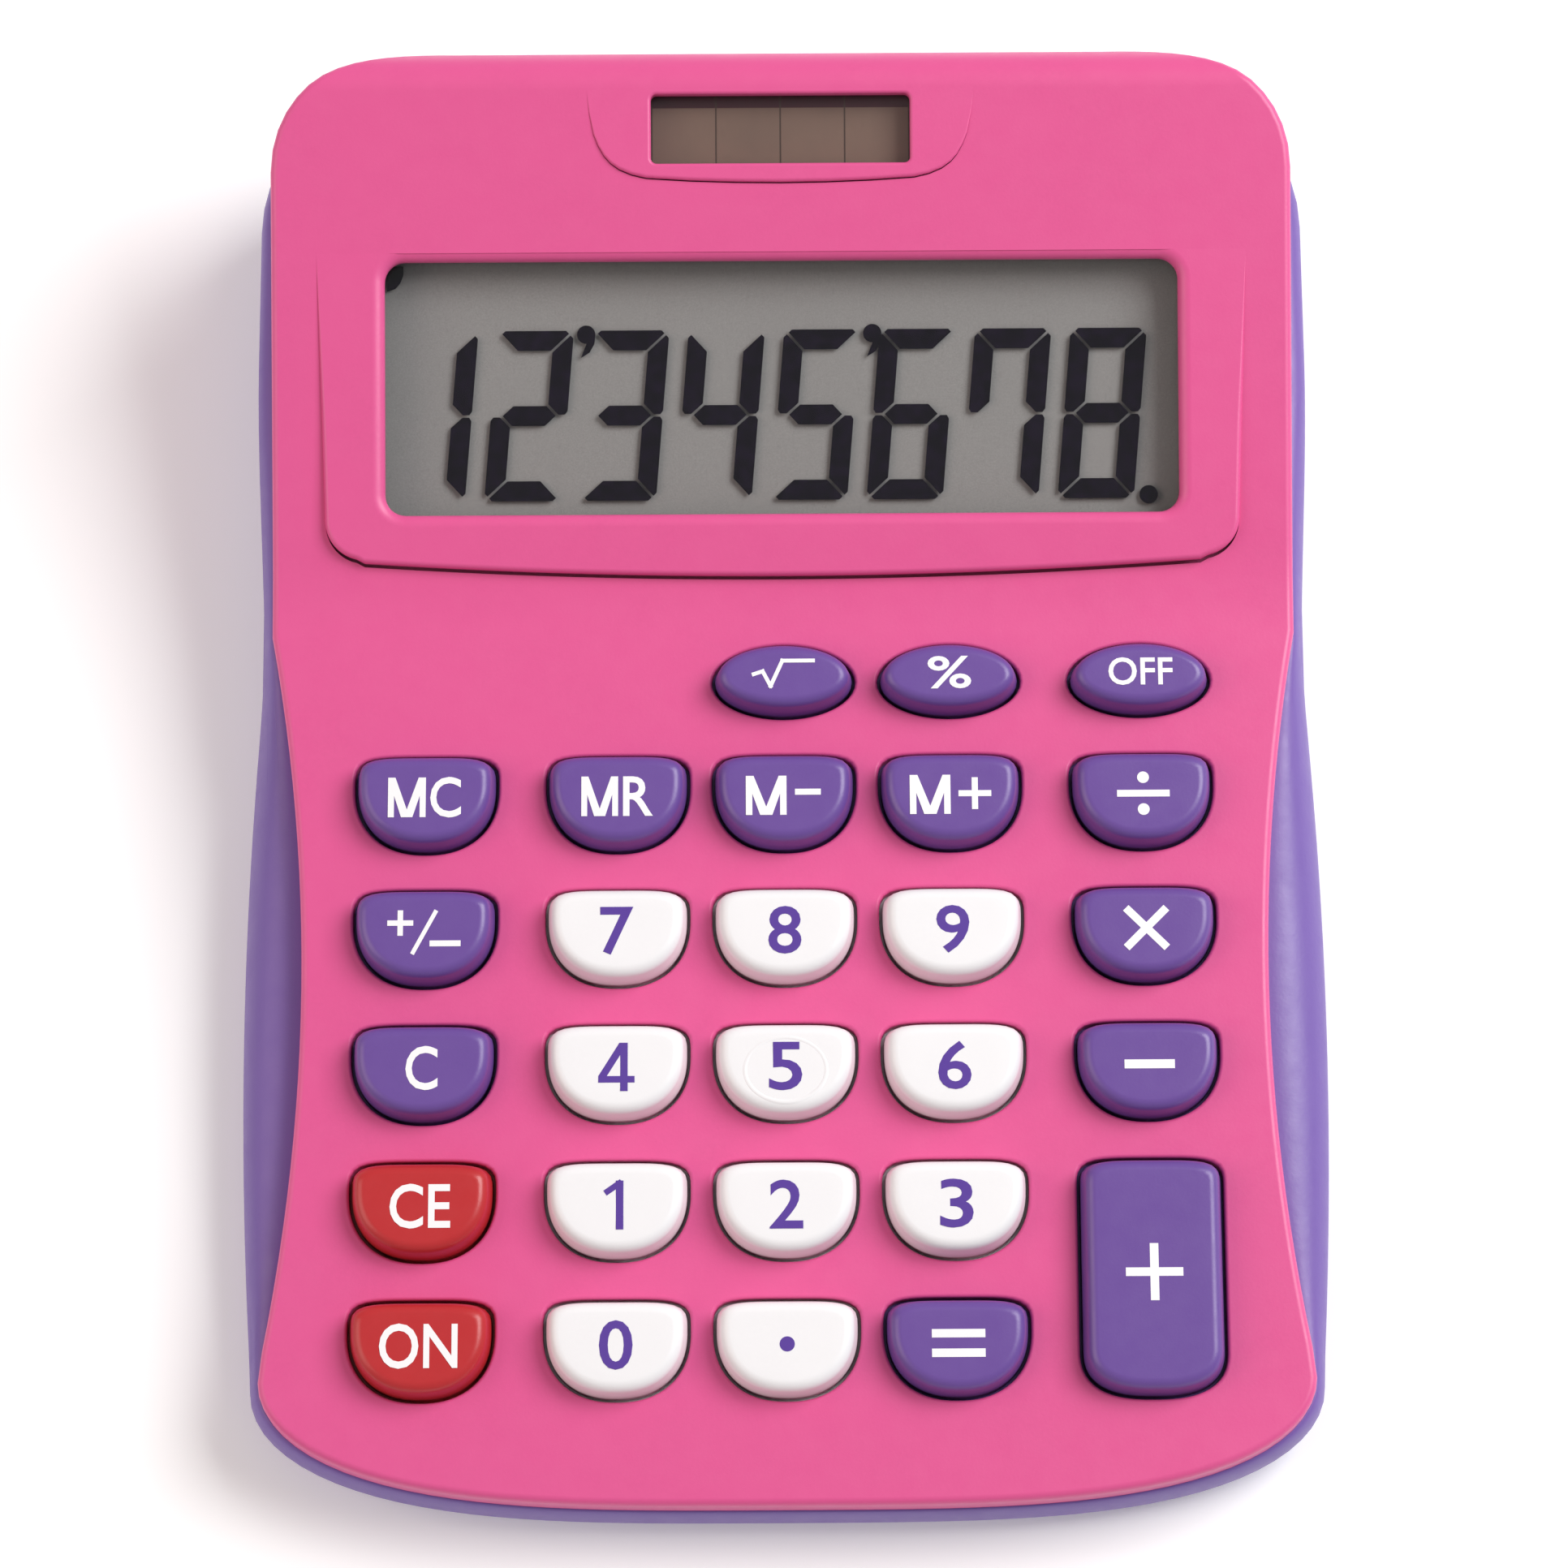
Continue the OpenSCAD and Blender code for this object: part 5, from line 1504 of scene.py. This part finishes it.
@dataclass
class Display:
    """Digits and marks of the liquid crystal display, and the reflector film behind them."""

    height: float = 17.56
    width: float = 7.85
    pitch: float = 9.83
    stroke: float = 2.05
    gap: float = 0.26
    chamfer: float = 0.8
    slant: float = 4.8
    last_right: float = 37.63
    base: float = -11.3
    number: str = "12345678"
    film: tuple[float, float] = (84.2, 29.0)
    film_levels: tuple[float, float] = (-4.55, -4.42)
    segment_levels: tuple[float, float] = (-4.0, -3.95)

    def _segments(self) -> dict[str, list[tuple[float, float]]]:
        """Give the seven segments of an upright digit, from its lower left corner."""
        h, w, s, k = self.height, self.width, self.stroke, self.chamfer
        d, m = self.gap / 2 / math.sqrt(2), self.height / 2
        top = [(k, h), (w - k, h), (w - k / 2 - d, h - k / 2 + d), (w - s - 2 * d, h - s),
               (s + 2 * d, h - s), (k / 2 + d, h - k / 2 + d)]
        left = [(0, h - k), (k / 2 - d, h - k / 2 - d), (s, h - s - 2 * d), (s, m + s / 2 + 2 * d),
                (s / 2 - d, m + 1.4 * d), (0.25, m + 1.4 * d), (0, m + 0.5)]
        middle = [(s / 2 + 2 * d, m), (s + 2 * d, m + s / 2), (w - s - 2 * d, m + s / 2),
                  (w - s / 2 - 2 * d, m), (w - s - 2 * d, m - s / 2), (s + 2 * d, m - s / 2)]

        def flip_x(loop: list) -> list:
            """Mirror a loop left to right."""
            return [(w - x, y) for x, y in reversed(loop)]

        def flip_y(loop: list) -> list:
            """Mirror a loop top to bottom."""
            return [(x, h - y) for x, y in reversed(loop)]

        return {"a": top, "b": flip_x(left), "c": flip_x(flip_y(left)), "d": flip_y(top),
                "e": flip_y(left), "f": left, "g": middle}

    def build(self) -> None:
        """Make the lit segments, the marks and the film."""
        lit = {"1": "bc", "2": "abged", "3": "abgcd", "4": "fgbc", "5": "afgcd", "6": "afgecd",
               "7": "fabc", "8": "abcdefg"}
        lean = math.tan(math.radians(self.slant))
        segments = self._segments()
        loops = []
        for i, digit in enumerate(self.number):
            left = self.last_right - self.pitch * (len(self.number) - 1 - i) - self.width
            for name in lit[digit]:
                loops.append([(left + x - (self.height - y) * lean, self.base + y)
                              for x, y in segments[name]])
        loops.append(disc(self.last_right + 0.05, self.base + 0.35, 0.95))
        for x in (-20.1, 9.35):
            comma = disc(x, 5.85, 0.95)
            loops.append(comma)
            loops.append([(x + 0.93, 5.7), (x + 0.85, 4.9), (x + 0.35, 4.0), (x - 0.55, 3.45), (x - 0.3, 4.1),
                          (x + 0.05, 4.95)][::-1])
        corner = [(-40.6, 13.0), (-40.6, 10.4), (-39.7, 10.7), (-39.2, 11.3), (-38.9, 12.1), (-38.9, 13.0)]
        panel = CASE.panel
        shape = Shape()
        for i, loop in enumerate([*loops, corner]):
            low, high = self.segment_levels
            thin_plates(shape, [loop], panel, (0, 0), low, high + 0.0004 * (i % 2))
        shape.finish("display_digits", Finish.SEGMENT, "case", "display_glass")
        film = Shape()
        edge = [(x, y) for x, y, _, _ in rounded_rect(*self.film, 0.5)]
        thin_plates(film, [edge], panel, (0, 0), *self.film_levels)
        film.finish("display_film", Finish.REFLECTOR, "case", "reflector", ("display_reflector",))


# ---------- Keypad rubber, screws and the nodes that are kept ----------


@dataclass
class RubberKeypad:
    """Silicone sheet with a collapsing dome under every key."""

    keys: list[PushKey]
    sheet_top: float = -5.0
    sheet: float = 0.7
    dome_r: float = 4.2
    travel: float = 1.2
    tip: float = 0.5
    start: float = 11.0
    width: float = 84.4
    edge: float = 0.4
    boss_x: float = 26.3
    boss_hole: float = 2.3
    pill_r: float = 1.5
    pill_t: float = 0.36

    def build(self) -> None:
        """Make the sheet, the domes and the pills."""
        plane = CASE.keypad
        low, top = self.sheet_top - self.sheet, self.sheet_top
        shape = Shape()
        end = KEYS.oval_row + self.dome_r + self.edge
        middle = (self.start + end) / 2
        outer = rounded_rect(self.width, end - self.start, 2.0)
        holes = [disc(KEYS.columns[k.column], k.s, self.dome_r) for k in self.keys]
        holes += [disc(side * self.boss_x, KEYS.first_row + n * KEYS.row, self.boss_hole)
                  for side in (-1, 1) for n in (0.5, 2.5, 4.5)]
        loop = [(x, y + middle) for x, y, _, _ in outer]
        up = plane.way(0, 0, 1)
        for level, way in ((top, up), (low, -up)):
            for corners in triangulate(loop, holes):
                shape.face([(plane.point(x, s, level), way) for x, s in corners])
        shape.skin([[(plane.point(x, y + middle, w), plane.way(u, v, 0)) for x, y, u, v in outer]
                    for w in (low, top)])
        for hole in holes:
            cx = sum(p[0] for p in hole) / len(hole)
            cy = sum(p[1] for p in hole) / len(hole)
            shape.skin([[(plane.point(x, y, w), plane.way(cx - x, cy - y, 0)) for x, y in hole]
                        for w in (low, top)])
        shape.finish("keypad_sheet", Finish.SILICONE, "case", "silicone", ("rubber_keypad",))
        for key in self.keys:
            self._dome(key)
            self._pill(key)

    def _pill(self, key: PushKey) -> None:
        """Make the carbon pill that goes down to the board with its key."""
        x0, s0 = KEYS.columns[key.column], key.s
        high = self.sheet_top + self.travel - 0.32
        shape = Shape()
        low = high - self.pill_t
        shape.revolve([(0.0, low), (self.pill_r, low), (self.pill_r, high), (0.0, high)],
                      lambda x, s, w: CASE.keypad.point(x0 + x, s0 + s, w), 32)
        shape.finish(f"pill_{key.name[4:]}", Finish.CARBON, key.name, "carbon", ("key_contacts",))

    def _dome(self, key: PushKey) -> None:
        """Make one dome under its key."""
        plane, r = CASE.keypad, self.dome_r
        x0, s0 = KEYS.columns[key.column], key.s
        top, low = self.sheet_top, self.sheet_top - self.sheet
        shoulder = top + self.travel
        tip = shoulder + self.tip
        outside = [(r, low), (r, top), (r - 0.25, top + 0.1), (r - 1.0, shoulder - 0.15), (r - 1.3, shoulder),
                   (r - 1.8, shoulder + 0.1), (r - 1.8, tip - 0.15), (r - 1.95, tip), (0.0, tip)]
        within = [(0.0, shoulder - 0.3), (1.9, shoulder - 0.3), (2.5, shoulder - 0.5), (r - 0.9, low),
                  (r, low)]
        shape = Shape()
        shape.revolve(outside, lambda x, s, w: plane.point(x0 + x, s0 + s, w), 36)
        shape.revolve(within, lambda x, s, w: plane.point(x0 + x, s0 + s, w), 36)
        dome = shape.finish(f"dome_{key.name[4:]}", Finish.SILICONE, "case", "silicone")
        anchor = plane.point(x0, s0, low) * MM
        tuple(plane.way(0, 0, 1))
        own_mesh(dome)


@dataclass
class CaseScrews:
    """Pan-head screws of the case, set out by a Geometry Nodes tree."""

    head_r: float = 2.1
    head_t: float = 1.2
    shank_r: float = 1.0
    shank_l: float = 5.5
    recess_r: float = 0.55

    def _pattern(self) -> bpy.types.Object:
        """Make one screw at the origin, its head downwards, with a recess for the driver."""
        shape = Shape()

        def place(x: float, s: float, w: float) -> Vector:
            """Give a point of the screw as it stands at the origin."""
            return Vector((x, s, w))

        recess = -self.head_t * 0.45
        shape.revolve([(self.recess_r, -self.head_t), (self.head_r - 0.5, -self.head_t + 0.06),
                       (self.head_r - 0.15, -self.head_t + 0.3), (self.head_r, -self.head_t + 0.6),
                       (self.head_r, 0.0), (self.shank_r, 0.0)], place, 40)
        thread = [(self.shank_r, 0.0)]
        for i in range(12):
            w = 0.3 + i * (self.shank_l - 0.9) / 12
            thread += [(self.shank_r - 0.12, w), (self.shank_r, w + 0.14), (self.shank_r - 0.12, w + 0.3)]
        thread += [(0.25, self.shank_l), (0.0, self.shank_l)]
        shape.revolve(thread, place, 20)
        shape.revolve([(0.0, recess), (0.3, recess - 0.1), (self.recess_r, -self.head_t)], place, 12)
        mesh = bpy.data.meshes.new("screw_pattern")
        mesh.from_pydata(shape.points, [], shape.faces)
        mesh.shade_smooth()
        made = bpy.data.objects.new("screw_pattern", mesh)
        bpy.context.scene.collection.objects.link(made)
        return made

    def _tree(self) -> bpy.types.NodeTree:
        """Build the tree: the pattern at every point, made real and given its finish."""
        tree = bpy.data.node_groups.new("screws_on_points", "GeometryNodeTree")
        face = tree.interface
        face.new_socket("Geometry", in_out="INPUT", socket_type="NodeSocketGeometry")
        face.new_socket("Pattern", in_out="INPUT", socket_type="NodeSocketObject")
        face.new_socket("Finish", in_out="INPUT", socket_type="NodeSocketMaterial")
        face.new_socket("Turn", in_out="INPUT", socket_type="NodeSocketFloat")
        face.new_socket("Geometry", in_out="OUTPUT", socket_type="NodeSocketGeometry")
        given = add(tree, "NodeGroupInput")
        pattern = add(tree, "GeometryNodeObjectInfo", {"Object": given.outputs["Pattern"]})
        number = add(tree, "GeometryNodeInputIndex")
        angle = add(tree, "ShaderNodeMath", {0: number.outputs[0], 1: given.outputs["Turn"]},
                    operation="MULTIPLY")
        turn = add(tree, "ShaderNodeCombineXYZ", {"Z": angle.outputs[0]})
        copies = add(tree, "GeometryNodeInstanceOnPoints", {
            "Points": given.outputs["Geometry"], "Instance": pattern.outputs["Geometry"],
            "Rotation": turn.outputs[0]})
        real = add(tree, "GeometryNodeRealizeInstances", {0: copies.outputs[0]})
        dressed = add(tree, "GeometryNodeSetMaterial", {
            "Geometry": real.outputs[0], "Material": given.outputs["Finish"]})
        add(tree, "NodeGroupOutput", {0: dressed.outputs[0]})
        return tree

    def build(self) -> None:
        """Set out the six screws on the case."""
        places = [(side * x, y, z) for side in (-1, 1)
                  for x, y, z in ((38.5, -68.4, 2.7), (46.5, 18.0, 6.7), (40.5, 63.0, 6.7))]
        mesh = bpy.data.meshes.new("screw_points")
        mesh.from_pydata([Vector(p) * MM for p in places], [], [])
        points = bpy.data.objects.new("screw_points", mesh)
        bpy.context.scene.collection.objects.link(points)
        pattern, tree = self._pattern(), self._tree()
        change = points.modifiers.new("screws", "NODES")
        change.node_group = tree
        values = {"Pattern": pattern, "Finish": Finish.SCREW.material(), "Turn": 0.7}
        for item in tree.interface.items_tree:
            if item.in_out == "INPUT" and item.name in values:
                change[item.identifier] = values[item.name]
        bpy.context.view_layer.update()
        solid = points.evaluated_get(bpy.context.evaluated_depsgraph_get())
        made = bpy.data.objects.new("case_screws_turned", bpy.data.meshes.new_from_object(solid))
        bpy.context.scene.collection.objects.link(made)
        bpy.data.objects.remove(points)
        bpy.data.objects.remove(pattern)
        dress(made, Finish.SCREW, "case", "screw_steel", ("case_screws",))


def dress_kept_nodes(replaced: set[str]) -> None:
    """Give every CAD node that stays in sight the finish of its slot.

    Args:
        replaced: Names of the nodes that other pieces stand for.
    """
    slots = {part["node"]: part["material_slot"] for part in frame["record"]["subparts"]}
    for name, node in frame["nodes"].items():
        if name in replaced:
            continue
        node.data.materials.clear()
        node.data.materials.append(SLOTS[slots[name]].material())
        LOG.info("%s keeps its solid, in %s", name, slots[name])


# ---------- Studio ----------


@dataclass
class Studio:
    """Pale floor, soft lights and the camera above the front edge."""

    distance: float = 510.0
    elevation: float = 72.0
    roll: float = -0.33
    view: float = 17.7
    target: tuple[float, float, float] = (0.0, -1.8, 15.0)

    def build(self) -> None:
        """Make the floor, the lights and the camera."""
        scene = bpy.context.scene
        scene.view_settings.view_transform = "Standard"
        mesh = bpy.data.meshes.new("floor")
        mesh.from_pydata([(-3, -3, 0), (3, -3, 0), (3, 3, 0), (-3, 3, 0)], [], [(0, 1, 2, 3)])
        floor = bpy.data.objects.new("floor", mesh)
        made, tree, where = new_material("white_card")
        shader = add(tree, "ShaderNodeBsdfPrincipled", {
            "Base Color": linear("#fafafa"), "Specular IOR Level": 0.1,
            "Emission Color": (1, 1, 1, 1), "Emission Strength": 0.14,
            "Roughness": remap(tree, noise(tree, where, 40.0), 0.3, 0.7, 0.85, 0.9)})
        add(tree, "ShaderNodeOutputMaterial", {"Surface": shader.outputs[0]})
        floor.data.materials.append(made)
        scene.collection.objects.link(floor)
        world = bpy.data.worlds.new("studio")
        world.use_nodes = True
        world.node_tree.nodes["Background"].inputs["Color"].default_value = (1, 1, 1, 1)
        world.node_tree.nodes["Background"].inputs["Strength"].default_value = 0.32
        scene.world = world
        self._light("key_light", (0.70, 0.30, 0.80), (0.7, 0.6), 11.5, "#ffffff")
        self._light("fill_light", (-0.80, -0.10, 0.60), (0.7, 0.7), 3.6, "#ffe4da")
        tilt = math.radians(self.elevation)
        centre = Vector(self.target) * MM
        place = centre + Vector((0, -math.cos(tilt), math.sin(tilt))) * self.distance * MM
        camera = bpy.data.objects.new("camera", bpy.data.cameras.new("camera"))
        camera.data.sensor_width = 36
        camera.data.lens = 18 / math.tan(math.radians(self.view / 2))
        camera.data.clip_start, camera.data.clip_end = 0.01, 20
        turn = (centre - place).to_track_quat("-Z", "Y").to_matrix().to_4x4()
        camera.matrix_world = Matrix.Translation(place) @ turn @ Matrix.Rotation(
            math.radians(self.roll), 4, "Z")
        scene.collection.objects.link(camera)
        scene.camera = camera

    def _light(self, name: str, place: tuple, size: tuple, watts: float, colour: str) -> None:
        """Add a soft rectangular light that faces the calculator.

        Args:
            name: Name of the light.
            place: Its place in metres.
            size: Its width and height in metres.
            watts: Its power.
            colour: Its colour as sRGB hex.
        """
        lamp = bpy.data.lights.new(name, "AREA")
        lamp.shape, lamp.size, lamp.size_y = "RECTANGLE", size[0], size[1]
        lamp.energy, lamp.color = watts, linear(colour)[:3]
        holder = bpy.data.objects.new(name, lamp)
        way = Vector((0, 0, 0.015)) - Vector(place)
        turn = way.to_track_quat("-Z", "Y").to_matrix().to_4x4()
        holder.matrix_world = Matrix.Translation(Vector(place)) @ turn
        bpy.context.scene.collection.objects.link(holder)


def main() -> None:
    """Build the calculator piece by piece."""
    logging.basicConfig(level=logging.INFO, format="%(message)s")
    Studio().build()
    keys = all_keys()
    for key in keys:
        key.build()
    TopShell(keys).build()
    BottomShell().build()
    Display().build()
    RubberKeypad(keys).build()
    CaseScrews().build()
    dress_kept_nodes({k.name for k in keys} | {"top_shell", "bottom_shell", "display_reflector",
                                               "rubber_keypad", "key_contacts", "case_screws"})
    bpy.context.view_layer.update()


if __name__ == "__main__":
    main()
